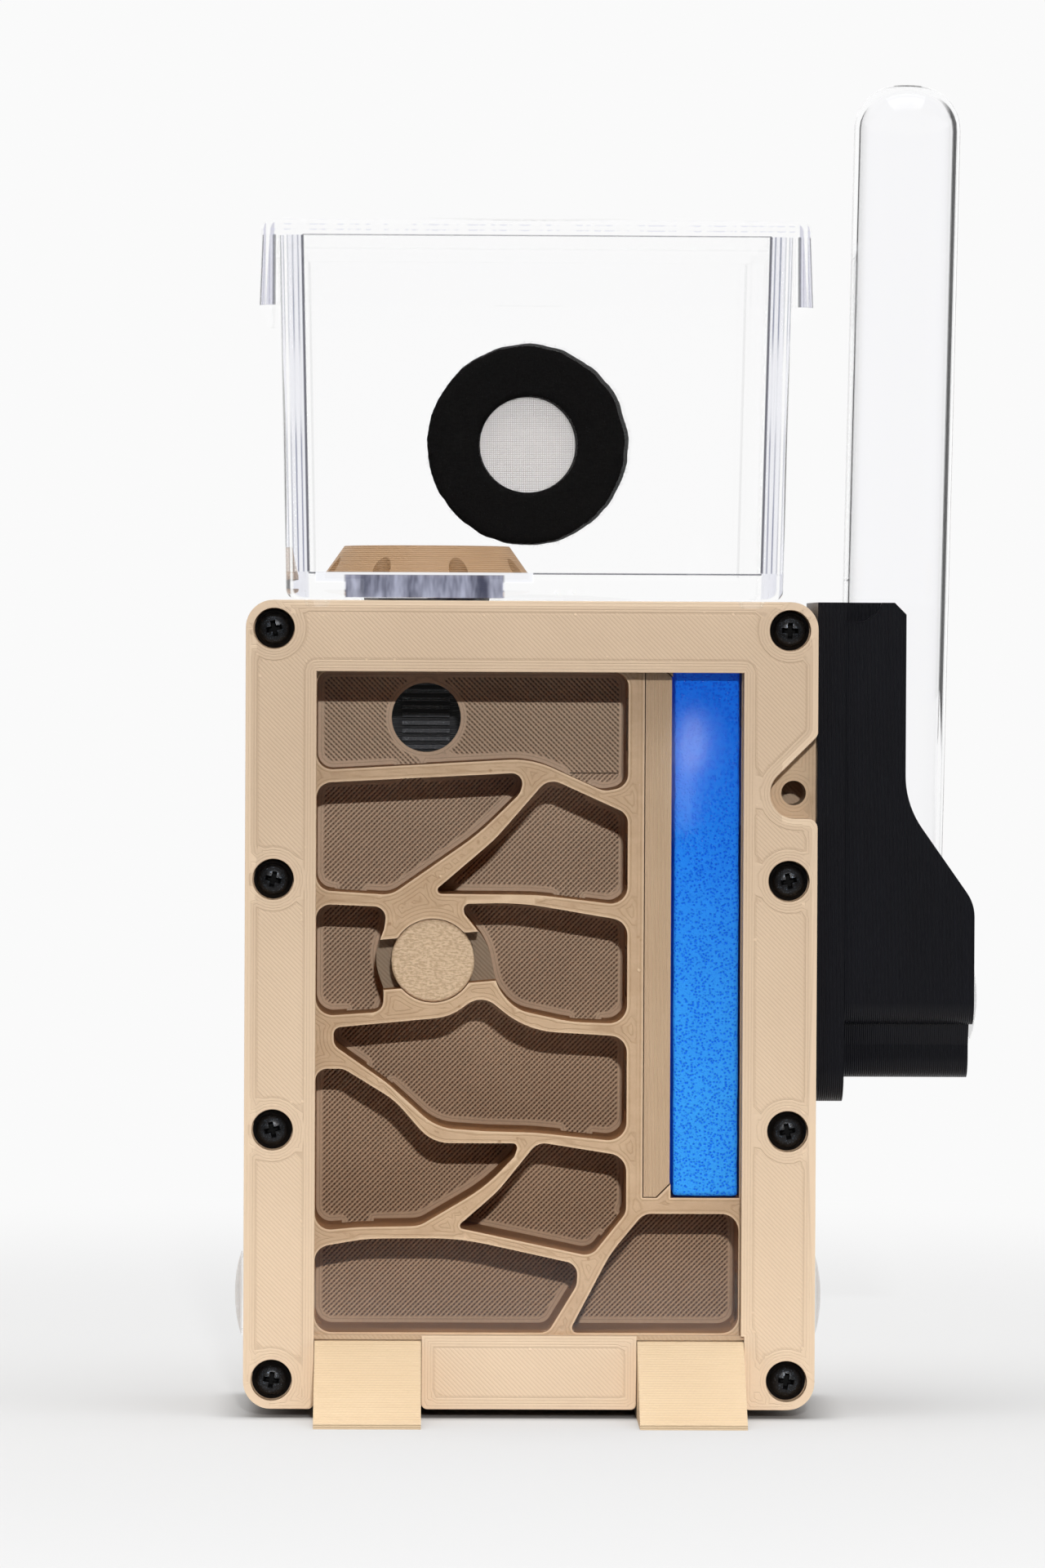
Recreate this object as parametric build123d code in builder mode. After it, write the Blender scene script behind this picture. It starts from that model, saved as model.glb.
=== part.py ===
from build123d import *
import os
from math import atan, cos, radians, sin, sqrt

os.makedirs("parts", exist_ok=True)

# A vertical ant nest. X runs to the right, Y away from the viewer and Z up.
# The origin is on the table, under the middle of the whole object. All sizes are in millimetres.

# Nest: a printed body with a printed frame screwed to its front over a clear pane.
# Its outline follows the window: a rail on each side, a sill below and a head above.
window_width = 65.0
window_height = 101.0
window_side = 11.0
window_sill = 11.2
window_head = 10.8
window_offset = -0.25
nest_corner = 4.2
body_depth = 29.0
frame_thickness = 5.0
pane_thickness = 2.9
pane_rebate = 3.0
pane_lap = 3.0
pane_sill_lap = 0.5
pane_gap = 0.15
chamber_depth = 15.5

# How far a cut runs on into the space it opens into.
cut_past = 0.5

# Frame screws: two columns of four.
screws_per_column = 4
screw_side_inset = 4.3
screw_end_inset = 4.35
screw_radius = 1.5
screw_length = 12.0
screw_head_radius = 3.0
screw_head_height = 1.9
screw_dome_radius = 2.4
screw_dome_round = 0.8
screw_flange_height = 0.6
screw_cross_span = 2.7
screw_cross_width = 0.8
screw_cross_depth = 1.1
screw_recess_radius = 3.15
screw_recess_depth = 2.2
screw_fit = 0.05
screw_hole_fit = 0.2
screw_hole_rest = 1.0

# Water side: a channel right of the chambers holds the sponge, behind a slotted grate.
# The channel's sides are in per cent of the window, like the chambers below.
channel_left = 77.0
channel_right = 99.8
channel_bottom = 20.5
channel_top = 101.4
grate_width = 4.3
grate_chamfer = 2.1
grate_gap = 0.15
sponge_gap = 0.2
slit_width = 1.0
slit_pitch = 2.0
slit_count = 4
slit_depth = 8.0
slit_cover = 3.5
fill_hole_inset = 3.4
fill_hole_drop = 29.1
fill_hole_radius = 1.88
fill_hole_depth = 9.0
fill_duct_radius = 1.2
fill_block_below = 5.0
fill_block_above = 10.0
notch_radius = 3.85
notch_corner = 1.4

# Tunnels through the chamber walls, and the passage that the gate knob shuts.
tunnel_width = 5.0
tunnel_depth = 4.5
tunnel_length = 5.0
passage_length = 19.0
passage_height = 7.7
passage_depth = 6.0
passage_tilt = 5.0
passage_step = 0.6
gate_x = 27.5
gate_height = 56.3
gate_radius = 6.35
gate_fit = 0.08
gate_inset = 0.2
gate_face = 1.4
gate_cap_radius = 8.5
gate_cap_thickness = 2.2
gate_slot_length = 12.8
gate_slot_width = 1.8
gate_slot_depth = 1.2
gate_rim = 0.4

# Entrance: an elbow behind the top chamber's floor, with a neck up into the clear box.
entrance_x = -16.0
entrance_drop = 18.0
entrance_radius = 5.35
elbow_wall = 1.5
elbow_width = 22.0
elbow_drop = 8.0
elbow_gap = 0.2
collar_thickness = 5.0
collar_roof = 4.0
duct_width = 11.0
duct_depth = 7.3
neck_radius = 9.75
rung_width = 7.4
rung_height = 0.6
rung_depth = 0.6
rung_pitch = 1.25

# Ring nut on the neck, inside the box.
nut_height = 5.0
nut_base_radius = 15.9
nut_top_radius = 12.8
nut_lip = 0.6
nut_fit = 0.08
nut_notches = 8
nut_notch_radius = 1.5
nut_notch_inset = 0.3
nut_notch_start = -72.0

# Clear box and lid, with a felt-edged mesh vent on the box's back wall.
box_top_width = 76.6
box_base_width = 74.2
box_height = 54.1
box_wall = 3.45
box_floor = 3.5
box_corner = 3.0
box_base_round = 1.6
box_inner_corner = 1.4
box_hole_radius = 11.8
box_foot_inset = 4.6
box_foot_radius = 2.2
box_foot_height = 1.1
box_foot_taper = 30.0
lid_width = 82.5
lid_draft = 0.35
lid_drop = 10.5
lid_top = 2.6
lid_clearance = 0.5
lid_edge_round = 1.9
vent_height = 25.0
vent_outer_radius = 16.1
vent_inner_radius = 7.6
felt_thickness = 1.6
mesh_radius = 13.0
mesh_thickness = 0.3
mesh_pitch = 0.9
mesh_gap = 0.6

# Port plugs: a domed head on a hollow shank.
port_radius = 5.2
port_height = 16.5
port_depth = 7.75
plug_fit = 0.1
plug_head_radius = 6.5
plug_rim = 0.6
plug_dome = 1.0
plug_shank = 3.2
plug_wall = 1.0

# Water tower: a holder on the nest's right side and an upturned test tube.
plate_thickness = 4.3
plate_drop = 46.7
plate_half_depth = 15.5
plate_round = 5.6
holder_half_depth = 15.2
holder_bottom = 58.6
holder_reach = 24.15
holder_top_reach = 13.5
holder_round = 3.8
holder_chamfer = 1.8
shoulder_top = 92.3
shoulder_bottom = 77.2
shoulder_upper_round = 14.0
shoulder_lower_round = 6.5
gallery_height = 62.2
gallery_bottom = 50.2
gallery_half_depth = 9.9
gallery_flare = 1.3
gallery_flare_drop = 3.2
gallery_round = 3.5
gallery_inset = 0.5
socket_reach = 11.8
socket_radius = 8.7
socket_floor = 52.6
scallop_radius = 4.2
scallop_rise = 1.2
scallop_reach = 5.7
scallop_depth = 2.0
spigot_height = 55.2
spigot_radius = 3.0
spigot_bore = 1.5
spigot_length = 7.0
spigot_fit = 0.1
spigot_hole_rest = 0.3
peg_drop = 12.0
seat_slot_width = 3.0
seat_slot_depth = 0.8
tube_radius = 8.2
tube_wall = 1.0
tube_length = 150.0
tube_dome = 6.9
tube_lean = 1.1
tube_inset = 0.3
tube_rim = 0.35

# Feet: saddles that clip round the nest's bottom, in recesses of the frame.
foot_width = 16.2
foot_inset = 18.95
foot_top = 10.35
foot_plate = 1.4
foot_reach = 15.0
foot_toe = 0.8
foot_rear_top = 3.0
foot_fit = 0.1
foot_recess_gap = 0.25
foot_recess_corner = 0.9
bridge_setback = 0.8

# Chamber outlines, as corners of the window's opening in per cent of its width and height,
# from its lower left corner. The third number is that corner's radius in per cent of the width.
chamber_edge = 73.2
chambers = [
    [
        (0, 100, 3.1), (73.2, 100, 3.4), (73.2, 82.7, 3.7),
        (67.5, 82.0, 4.6), (50.5, 86.9, 21.5), (0, 85.0, 3.7),
    ],
    [
        (0, 83.1, 3.7), (49.2, 84.8, 2.5), (47.8, 81.6, 4.6),
        (38, 75.4, 61.5), (17.6, 66.2, 6.2), (0, 66.9, 3.7),
    ],
    [
        (54.5, 84.0, 4.0), (73.2, 78.6, 3.4), (73.2, 64.7, 4.0),
        (52, 66.3, 61.5), (27.0, 66.4, 0.92), (42, 74.7, 38.5),
    ],
    [
        (0, 64.8, 3.4), (16.8, 64.4, 2.8), (16.0, 61.0, 6.2), (13.4, 56.5, 12.3),
        (16.0, 51.6, 4.6), (15.8, 48.5, 2.8), (0, 47.8, 4.0),
    ],
    [
        (34.4, 64.9, 1.38), (48, 65.1, 61.5), (73.2, 62.4, 4.0), (73.2, 46.8, 4.3), (60, 47.1, 30.8),
        (47.0, 48.9, 9.2), (42.6, 52.3, 9.2), (40.6, 58.8, 15.4), (34.9, 63.3, 1.5),
    ],
    [
        (4.2, 46.1, 1.8), (31.5, 47.8, 12.3), (39.0, 51.3, 5.2), (49.5, 45.8, 21.5), (73.2, 44.9, 4.0),
        (73.2, 28.9, 4.3), (52, 30.3, 61.5), (40, 30.5, 30.8),
        (28.5, 31.0, 12.3), (17, 37.7, 30.8), (4.3, 43.4, 2.8),
    ],
    [
        (0, 39.9, 2.8), (6.6, 39.9, 4.3), (18.6, 35.2, 18.5), (27.5, 28.7, 9.2), (47.9, 28.7, 1.08),
        (46.9, 26.7, 1.5), (40.0, 22.0, 38.5), (24.5, 16.1, 6.2), (10, 15.9, 46.2), (0, 15.3, 3.7),
    ],
    [
        (52.3, 28.9, 4.0), (73.2, 26.8, 4.3), (73.2, 18.2, 3.7),
        (65, 11.6, 3.7), (33.2, 15.9, 0.77), (43, 21.4, 30.8),
    ],
    [
        (0, 12.8, 3.7), (12, 14.2, 46.2), (34, 14.3, 61.5), (61.9, 10.4, 3.1),
        (61.7, 7.2, 4.6), (54.9, 0, 3.1), (0, 0, 4.0),
    ],
    [(77.3, 18.1, 4.0), (99.7, 18.1, 4.0), (99.7, 0, 4.0), (59.8, 0, 1.23), (69.5, 12, 30.8)],
]

# Tunnels between neighbouring chambers, at floor level: place in per cent, and slope in degrees.
tunnels = [
    (22, 84.8, 90), (62, 83.0, 75), (8, 65.8, 90), (60, 64.9, 90), (11, 47.3, 90), (64, 46.1, 90),
    (14.6, 37.9, 60), (62, 28.9, 90), (10, 14.9, 90), (71.3, 14.9, -40), (64.2, 7.0, -30),
]

# Openings from four chambers to the channel, at these heights in per cent.
damp_windows = [92.0, 71.5, 54.5, 37.0]

# Places that follow from the sizes above.
pane_bottom = window_sill - pane_sill_lap
pane_top = window_sill + window_height + pane_lap
nest_width = window_width + 2 * window_side
nest_height = window_sill + window_height + window_head
nest_depth = body_depth + frame_thickness
nest_front = -nest_depth / 2
body_front = nest_front + frame_thickness
body_back = nest_depth / 2
nest_x = -holder_reach / 2
nest_z = foot_plate
nest_top = nest_z + nest_height
nest_left = nest_x - nest_width / 2
nest_right = nest_x + nest_width / 2
chamber_floor = body_front + chamber_depth
window_left = window_offset - window_width / 2

# The frame's front face, then the body's front face and the chambers' floor, with x to the right
# of the nest's middle and y up from its bottom edge.
frame_face = Plane(origin=(nest_x, nest_front, nest_z), x_dir=(1, 0, 0), z_dir=(0, -1, 0))
body_face = frame_face.offset(-frame_thickness)
floor_face = body_face.offset(-chamber_depth)


def field(x, z):
    return (window_left + window_width * x / 100, window_sill + window_height * z / 100)


# The pieces' shared places on the nest's front.
fill_hole = (nest_width / 2 - fill_hole_inset, nest_height - fill_hole_drop)
entrance_height = nest_height - entrance_drop
entrance = (entrance_x, entrance_height)
peg_height = nest_height - peg_drop
gate = field(gate_x, gate_height)
port_y = body_front + port_depth
screw_x = nest_width / 2 - screw_side_inset
screw_pitch = (nest_height - 2 * screw_end_inset) / (screws_per_column - 1)
screw_rows = [screw_end_inset + screw_pitch * row for row in range(screws_per_column)]
screws = [(side * screw_x, row) for side in (-1, 1) for row in screw_rows]
foot_x = nest_width / 2 - foot_inset
feet = {"left_foot": -foot_x, "right_foot": foot_x}

# The grate's and the sponge's shared outline of the channel.
channel_x0, channel_z0 = field(channel_left, channel_bottom)
channel_x1, channel_z1 = field(channel_right, channel_top)
channel_split = channel_x0 + grate_width
chamber_right = field(chamber_edge, 0)[0]
slit_heights = [field(0, height)[1] for height in damp_windows]
slit_offsets = [slit_pitch * (row - (slit_count - 1) / 2) for row in range(slit_count)]

# The elbow sits in a pocket behind the top chamber's floor, closed above by a slotted roof.
elbow_x = nest_x + entrance_x
elbow_front = chamber_floor + elbow_wall
duct_front = elbow_front + elbow_wall
duct_back = duct_front + duct_depth
neck_y = body_back - neck_radius
elbow_bottom = nest_z + entrance_height - elbow_drop
elbow_top = nest_top - collar_roof
collar_front = neck_y - elbow_width / 2
duct_bottom = nest_z + entrance_height - entrance_radius

# The clear box stands on the nest's top.
box_bottom = nest_top
box_top = box_bottom + box_height
box_draft = (box_top_width - box_base_width) / 2 / box_height
box_foot_spacing = box_base_width - 2 * box_foot_inset
neck_top = box_bottom + box_floor + nut_height

# The tower's places, from the nest's right side.
holder_right = nest_right + holder_reach
socket_x = nest_right + socket_reach
tube_bottom_x = socket_x - tube_inset


# The elbow's pocket, open at the back: the block's place, the collar's and the neck's slot.
with BuildPart() as elbow_pocket:
    pocket_y = (elbow_front + body_back) / 2
    with BuildSketch(Plane.XY.offset(elbow_bottom)):
        with Locations((elbow_x, pocket_y)):
            Rectangle(elbow_width + 2 * elbow_gap, body_back - elbow_front)
    extrude(amount=elbow_top - elbow_bottom)
    with BuildSketch(Plane.XY.offset(elbow_top - collar_thickness)):
        with Locations((elbow_x, (collar_front - elbow_gap + body_back) / 2)):
            Rectangle(elbow_width + 2 * elbow_gap, body_back - collar_front + elbow_gap)
    extrude(amount=collar_thickness)
    with BuildSketch(Plane.XY.offset(elbow_top)):
        with Locations((elbow_x, neck_y)):
            Circle(neck_radius + elbow_gap)
        with Locations((elbow_x, (neck_y + body_back) / 2)):
            Rectangle(2 * (neck_radius + elbow_gap), body_back - neck_y)
    extrude(amount=collar_roof)


# The place of the block round the fill hole, from the body's front to the chambers' floor.
with BuildPart() as fill_corner:
    with BuildSketch(body_face):
        with Locations((channel_x1, fill_hole[1] - fill_block_below)):
            Rectangle(
                nest_width / 2 - channel_x1,
                fill_block_below + fill_block_above,
                align=(Align.MIN, Align.MIN),
            )
    extrude(amount=-chamber_depth)


# The printed body in three pieces, so that each stays simple: two halves that meet at the
# chambers' floor, and the block round the fill hole. The front half is the chambers' walls.
with BuildPart() as nest_body:
    with BuildSketch(body_face):
        with Locations((0, nest_height / 2)):
            RectangleRounded(nest_width, nest_height, nest_corner)
    extrude(amount=-chamber_depth)
    # Chambers.
    with BuildSketch(body_face):
        for outline in chambers:
            with BuildLine():
                corner_radii = [r * window_width / 100 for x, z, r in outline]
                FilletPolyline([field(x, z) for x, z, r in outline], radius=corner_radii, close=True)
            make_face()
    extrude(amount=-chamber_depth, mode=Mode.SUBTRACT)
    # Sponge channel, with two corner webs that the grate's chamfers sit on.
    with BuildSketch(body_face):
        with Locations(((channel_x0 + channel_x1) / 2, (channel_z0 + channel_z1) / 2)):
            Rectangle(channel_x1 - channel_x0, channel_z1 - channel_z0)
        for end, inward in ((channel_z0, 1), (channel_z1, -1)):
            with BuildLine():
                Polyline(
                    (channel_split - grate_chamfer, end),
                    (channel_split, end),
                    (channel_split, end + inward * grate_chamfer),
                    close=True,
                )
            make_face(mode=Mode.SUBTRACT)
    extrude(amount=-chamber_depth, mode=Mode.SUBTRACT)
    # Passage past the gate knob, with a raised floor, and the knob's bore.
    with BuildSketch(body_face):
        with Locations(gate):
            Rectangle(passage_length, passage_height, rotation=passage_tilt)
    extrude(amount=-passage_depth, mode=Mode.SUBTRACT)
    with BuildSketch(body_face):
        with Locations(gate):
            Circle(gate_radius + gate_fit)
    extrude(amount=-chamber_depth, mode=Mode.SUBTRACT)
    # Tunnels at floor level, then the damp openings above them on the channel's side.
    with BuildSketch(floor_face):
        for x, z, slope in tunnels:
            with Locations(field(x, z)):
                Rectangle(tunnel_length, tunnel_width, rotation=slope)
    extrude(amount=tunnel_depth, mode=Mode.SUBTRACT)
    damp_width = channel_x0 - chamber_right + cut_past
    with BuildSketch(body_face.offset(-slit_cover)):
        for height in slit_heights:
            with Locations((channel_x0 - damp_width / 2, height)):
                Rectangle(damp_width, slit_pitch * slit_count)
    extrude(amount=-slit_depth, mode=Mode.SUBTRACT)
    add(fill_corner.part, mode=Mode.SUBTRACT)
    add(elbow_pocket.part, mode=Mode.SUBTRACT)
    # Side ports into the two bottom chambers.
    port_reaches = {-1: nest_width / 2 + window_left, 1: nest_width / 2 - window_left - window_width}
    for side, reach in port_reaches.items():
        port_plane = Plane(
            origin=(nest_x + side * nest_width / 2, port_y, nest_z + port_height), z_dir=(-side, 0, 0)
        )
        with BuildSketch(port_plane):
            Circle(port_radius)
        extrude(amount=reach + 2 * cut_past, mode=Mode.SUBTRACT)
    # Holes for the frame screws.
    with BuildSketch(body_face):
        with Locations(*screws):
            Circle(screw_radius + screw_fit)
    screw_hole_depth = screw_length + screw_recess_depth - frame_thickness + screw_hole_rest
    extrude(amount=-screw_hole_depth, mode=Mode.SUBTRACT)
    # Holes for the tower's spigot and peg, and the spigot's way into the channel.
    tower_plane = Plane(origin=(nest_right, 0, nest_z), x_dir=(0, -1, 0), z_dir=(-1, 0, 0))
    with BuildSketch(tower_plane):
        with Locations((0, spigot_height), (0, peg_height)):
            Circle(spigot_radius + spigot_fit)
    extrude(amount=spigot_length + spigot_hole_rest, mode=Mode.SUBTRACT)
    with BuildSketch(tower_plane):
        with Locations((0, spigot_height)):
            Circle(spigot_bore)
    extrude(amount=nest_width / 2 - channel_x1 + cut_past, mode=Mode.SUBTRACT)

nest_body.part.label = "nest_body"
export_step(nest_body.part, "parts/nest_body.step")


# The block with the fill hole in the notch's ground, and its duct into the channel.
with BuildPart() as fill_block:
    add(fill_corner.part)
    with BuildSketch(body_face):
        with Locations(fill_hole):
            Circle(fill_hole_radius)
    extrude(amount=-fill_hole_depth, mode=Mode.SUBTRACT)
    duct_y = body_front + fill_hole_depth - fill_hole_radius
    fill_duct = Plane(origin=(nest_x + fill_hole[0], duct_y, nest_z + fill_hole[1]), z_dir=(-1, 0, 0))
    with BuildSketch(fill_duct):
        Circle(fill_duct_radius)
    extrude(amount=fill_hole[0] - channel_x1 + cut_past, mode=Mode.SUBTRACT)

fill_block.part.label = "fill_block"
export_step(fill_block.part, "parts/fill_block.step")


# The back half: the chambers' floor, with the knob's bore and the elbow's place.
with BuildPart() as nest_back:
    with BuildSketch(floor_face):
        with Locations((0, nest_height / 2)):
            RectangleRounded(nest_width, nest_height, nest_corner)
    extrude(amount=chamber_depth - body_depth)
    with BuildSketch(floor_face):
        with Locations(gate):
            Circle(gate_radius + gate_fit)
    extrude(amount=chamber_depth - body_depth, mode=Mode.SUBTRACT)
    with BuildSketch(body_face.offset(-body_depth)):
        with Locations(gate):
            Circle(gate_cap_radius + gate_fit)
    extrude(amount=gate_cap_thickness, mode=Mode.SUBTRACT)
    # Round way from the top chamber to the elbow.
    with BuildSketch(floor_face):
        with Locations(entrance):
            Circle(entrance_radius)
    extrude(amount=-elbow_wall, mode=Mode.SUBTRACT)
    add(elbow_pocket.part, mode=Mode.SUBTRACT)

nest_back.part.label = "nest_back"
export_step(nest_back.part, "parts/nest_back.step")


with BuildPart() as front_frame:
    with BuildSketch(frame_face) as frame_outline:
        with Locations((0, nest_height / 2)):
            RectangleRounded(nest_width, nest_height, nest_corner)
        with Locations((window_offset, window_sill + window_height / 2)):
            Rectangle(window_width, window_height, mode=Mode.SUBTRACT)
        # Recesses that take the feet.
        recess_top = foot_top + foot_recess_gap
        for foot_middle in feet.values():
            with Locations((foot_middle, recess_top / 2)):
                Rectangle(foot_width + 2 * foot_fit, recess_top, mode=Mode.SUBTRACT)
        # Notch round the fill hole: a circle with a way out to the nest's right edge.
        notch_x, notch_z = fill_hole
        notch_tangent = notch_radius / sqrt(2)
        with Locations(fill_hole):
            Circle(notch_radius, mode=Mode.SUBTRACT)
        notch_side = nest_width / 2 - notch_x
        with BuildLine():
            Polyline(
                (notch_x - notch_tangent, notch_z + notch_tangent),
                (nest_width / 2, notch_z + 2 * notch_tangent + notch_side),
                (nest_width / 2, notch_z - notch_radius),
                (notch_x, notch_z - notch_radius),
                close=True,
            )
        make_face(mode=Mode.SUBTRACT)
        # Rounded corners: the rail's ends beside the feet, and the notch's way out.
        recess_half = foot_width / 2 + foot_fit
        lobes = [(foot_middle + side * recess_half, 0) for foot_middle in feet.values() for side in (-1, 1)]
        for corner in lobes:
            fillet(vertices().sort_by_distance(corner)[0], foot_recess_corner)
        for corner_z in (notch_z + 2 * notch_tangent + notch_side, notch_z - notch_radius):
            fillet(vertices().sort_by_distance((nest_width / 2, corner_z))[0], notch_corner)
    extrude(amount=-frame_thickness)
    # Rebate behind the window for the pane.
    with BuildSketch(body_face):
        with Locations((window_offset, (pane_bottom + pane_top) / 2)):
            Rectangle(window_width + 2 * (pane_lap + pane_gap), pane_top - pane_bottom + 2 * pane_gap)
    extrude(amount=pane_rebate, mode=Mode.SUBTRACT)
    # Thin bridges above the feet, set back from the face.
    with BuildSketch(frame_face):
        for foot_middle in feet.values():
            with Locations((foot_middle, (recess_top + window_sill) / 2)):
                Rectangle(foot_width + 2 * foot_fit, window_sill - recess_top)
    extrude(amount=-bridge_setback, mode=Mode.SUBTRACT)
    # Screw holes, with a recess for each head.
    with BuildSketch(frame_face):
        with Locations(*screws):
            Circle(screw_radius + screw_hole_fit)
    extrude(amount=-frame_thickness, mode=Mode.SUBTRACT)
    with BuildSketch(frame_face):
        with Locations(*screws):
            Circle(screw_recess_radius)
    extrude(amount=-screw_recess_depth, mode=Mode.SUBTRACT)

front_frame.part.label = "front_frame"
export_step(front_frame.part, "parts/front_frame.step")


with BuildPart() as window_pane:
    with BuildSketch(body_face.offset(pane_rebate)):
        with Locations((window_offset, (pane_bottom + pane_top) / 2)):
            Rectangle(window_width + 2 * pane_lap, pane_top - pane_bottom)
    extrude(amount=-pane_thickness)

window_pane.part.label = "window_pane"
export_step(window_pane.part, "parts/window_pane.step")


with BuildPart() as frame_screws:
    screw_seat = frame_face.offset(-screw_recess_depth)
    with BuildSketch(screw_seat):
        with Locations(*screws):
            Circle(screw_radius)
    extrude(amount=-screw_length)
    with BuildSketch(screw_seat):
        with Locations(*screws):
            Circle(screw_head_radius)
    extrude(amount=screw_flange_height)
    with BuildSketch(screw_seat.offset(screw_flange_height)):
        with Locations(*screws):
            Circle(screw_dome_radius)
    extrude(amount=screw_head_height - screw_flange_height)
    dome_rims = faces().filter_by(Axis.Y).group_by(Axis.Y)[0].edges()
    fillet(dome_rims, screw_dome_round)
    with BuildSketch(screw_seat.offset(screw_head_height)):
        with Locations(*screws):
            Rectangle(screw_cross_span, screw_cross_width)
            Rectangle(screw_cross_width, screw_cross_span)
    extrude(amount=-screw_cross_depth, mode=Mode.SUBTRACT)

frame_screws.part.label = "frame_screws"
export_step(frame_screws.part, "parts/frame_screws.step")


with BuildPart() as sponge_grate:
    with BuildSketch(body_face):
        with BuildLine():
            Polyline(
                (channel_x0 + grate_gap, channel_z0 + grate_gap),
                (channel_split - grate_chamfer - grate_gap, channel_z0 + grate_gap),
                (channel_split - grate_gap, channel_z0 + grate_chamfer + grate_gap),
                (channel_split - grate_gap, channel_z1 - grate_chamfer - grate_gap),
                (channel_split - grate_chamfer - grate_gap, channel_z1 - grate_gap),
                (channel_x0 + grate_gap, channel_z1 - grate_gap),
                close=True,
            )
        make_face()
    extrude(amount=-chamber_depth + grate_gap)
    # Slits facing the damp openings.
    with BuildSketch(body_face.offset(-slit_cover)):
        for height in slit_heights:
            for row in slit_offsets:
                with Locations((channel_x0 + grate_width / 2, height + row)):
                    Rectangle(grate_width, slit_width)
    extrude(amount=-slit_depth, mode=Mode.SUBTRACT)

sponge_grate.part.label = "sponge_grate"
export_step(sponge_grate.part, "parts/sponge_grate.step")


with BuildPart() as hydration_sponge:
    with BuildSketch(body_face):
        with Locations(((channel_split + channel_x1) / 2, (channel_z0 + channel_z1) / 2)):
            Rectangle(channel_x1 - channel_split - 2 * sponge_gap, channel_z1 - channel_z0 - 2 * sponge_gap)
    extrude(amount=-chamber_depth + sponge_gap)
    split(bisect_by=body_face.offset(-sponge_gap), keep=Keep.BOTTOM)

hydration_sponge.part.label = "hydration_sponge"
export_step(hydration_sponge.part, "parts/hydration_sponge.step")


with BuildPart() as gate_knob:
    # A round bar through the body, with a cross channel behind its face and a cap at the back.
    with BuildSketch(body_face.offset(-gate_inset)):
        with Locations(gate):
            Circle(gate_radius)
    extrude(amount=-(body_depth - gate_inset - gate_cap_thickness))
    fillet(faces().sort_by(Axis.Y)[0].edges(), gate_rim)
    with BuildSketch(body_face.offset(gate_cap_thickness - body_depth)):
        with Locations(gate):
            Circle(gate_cap_radius)
    extrude(amount=-gate_cap_thickness)
    with BuildSketch(body_face.offset(-gate_face)):
        with Locations(gate):
            Rectangle(4 * gate_radius, passage_height - passage_step, rotation=passage_tilt)
    extrude(amount=gate_face - passage_depth, mode=Mode.SUBTRACT)
    with BuildSketch(body_face.offset(-body_depth)):
        with Locations(gate):
            Rectangle(gate_slot_length, gate_slot_width, rotation=passage_tilt)
    extrude(amount=gate_slot_depth, mode=Mode.SUBTRACT)

gate_knob.part.label = "gate_knob"
export_step(gate_knob.part, "parts/gate_knob.step")


with BuildPart() as entrance_elbow:
    with BuildSketch(Plane.XY.offset(elbow_bottom + elbow_gap)):
        with Locations((elbow_x, (elbow_front + body_back) / 2)):
            Rectangle(elbow_width, body_back - elbow_front)
    extrude(amount=elbow_top - elbow_bottom - elbow_gap)
    with BuildSketch(Plane.XY.offset(elbow_top)):
        with Locations((elbow_x, (collar_front + body_back) / 2)):
            Rectangle(elbow_width, body_back - collar_front)
    extrude(amount=-(collar_thickness - elbow_gap))
    with BuildSketch(Plane.XY.offset(elbow_top)):
        with Locations((elbow_x, neck_y)):
            Circle(neck_radius)
    extrude(amount=neck_top - elbow_top)
    # Duct from behind the chamber's hole up through the neck.
    with BuildSketch(Plane.XY.offset(neck_top)):
        with Locations((elbow_x, (duct_front + duct_back) / 2)):
            Rectangle(duct_width, duct_depth)
    extrude(amount=duct_bottom - neck_top, mode=Mode.SUBTRACT)
    with BuildSketch(floor_face.offset(-elbow_wall)):
        with Locations(entrance):
            Circle(entrance_radius)
    extrude(amount=-elbow_wall, mode=Mode.SUBTRACT)
    # Rungs that ants climb, all the way up the duct's back wall.
    rung_count = int((neck_top - duct_bottom) / rung_pitch)
    with BuildSketch(Plane(origin=(elbow_x, duct_back, duct_bottom), x_dir=(1, 0, 0), z_dir=(0, -1, 0))):
        for rung in range(rung_count):
            with Locations((0, rung_pitch * (rung + 0.5))):
                Rectangle(rung_width, rung_height)
    extrude(amount=rung_depth)

entrance_elbow.part.label = "entrance_elbow"
export_step(entrance_elbow.part, "parts/entrance_elbow.step")


with BuildPart() as ring_nut:
    nut_bore = neck_radius + nut_fit
    nut_profile = Plane(origin=(elbow_x, neck_y, box_bottom + box_floor), x_dir=(1, 0, 0), z_dir=(0, -1, 0))
    with BuildSketch(nut_profile):
        with BuildLine():
            Polyline(
                (nut_bore, 0),
                (nut_base_radius, 0),
                (nut_base_radius, nut_lip),
                (nut_top_radius, nut_height),
                (nut_bore, nut_height),
                close=True,
            )
        make_face()
    revolve(axis=Axis((elbow_x, neck_y, 0), (0, 0, 1)))
    with BuildSketch(Plane.XY.offset(box_bottom + box_floor)):
        with Locations((elbow_x, neck_y)):
            with PolarLocations(nut_base_radius - nut_notch_inset, nut_notches, start_angle=nut_notch_start):
                Circle(nut_notch_radius)
    extrude(amount=nut_height, mode=Mode.SUBTRACT)

ring_nut.part.label = "ring_nut"
export_step(ring_nut.part, "parts/ring_nut.step")


def box_width_at(height):
    return box_base_width + 2 * box_draft * height


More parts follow.
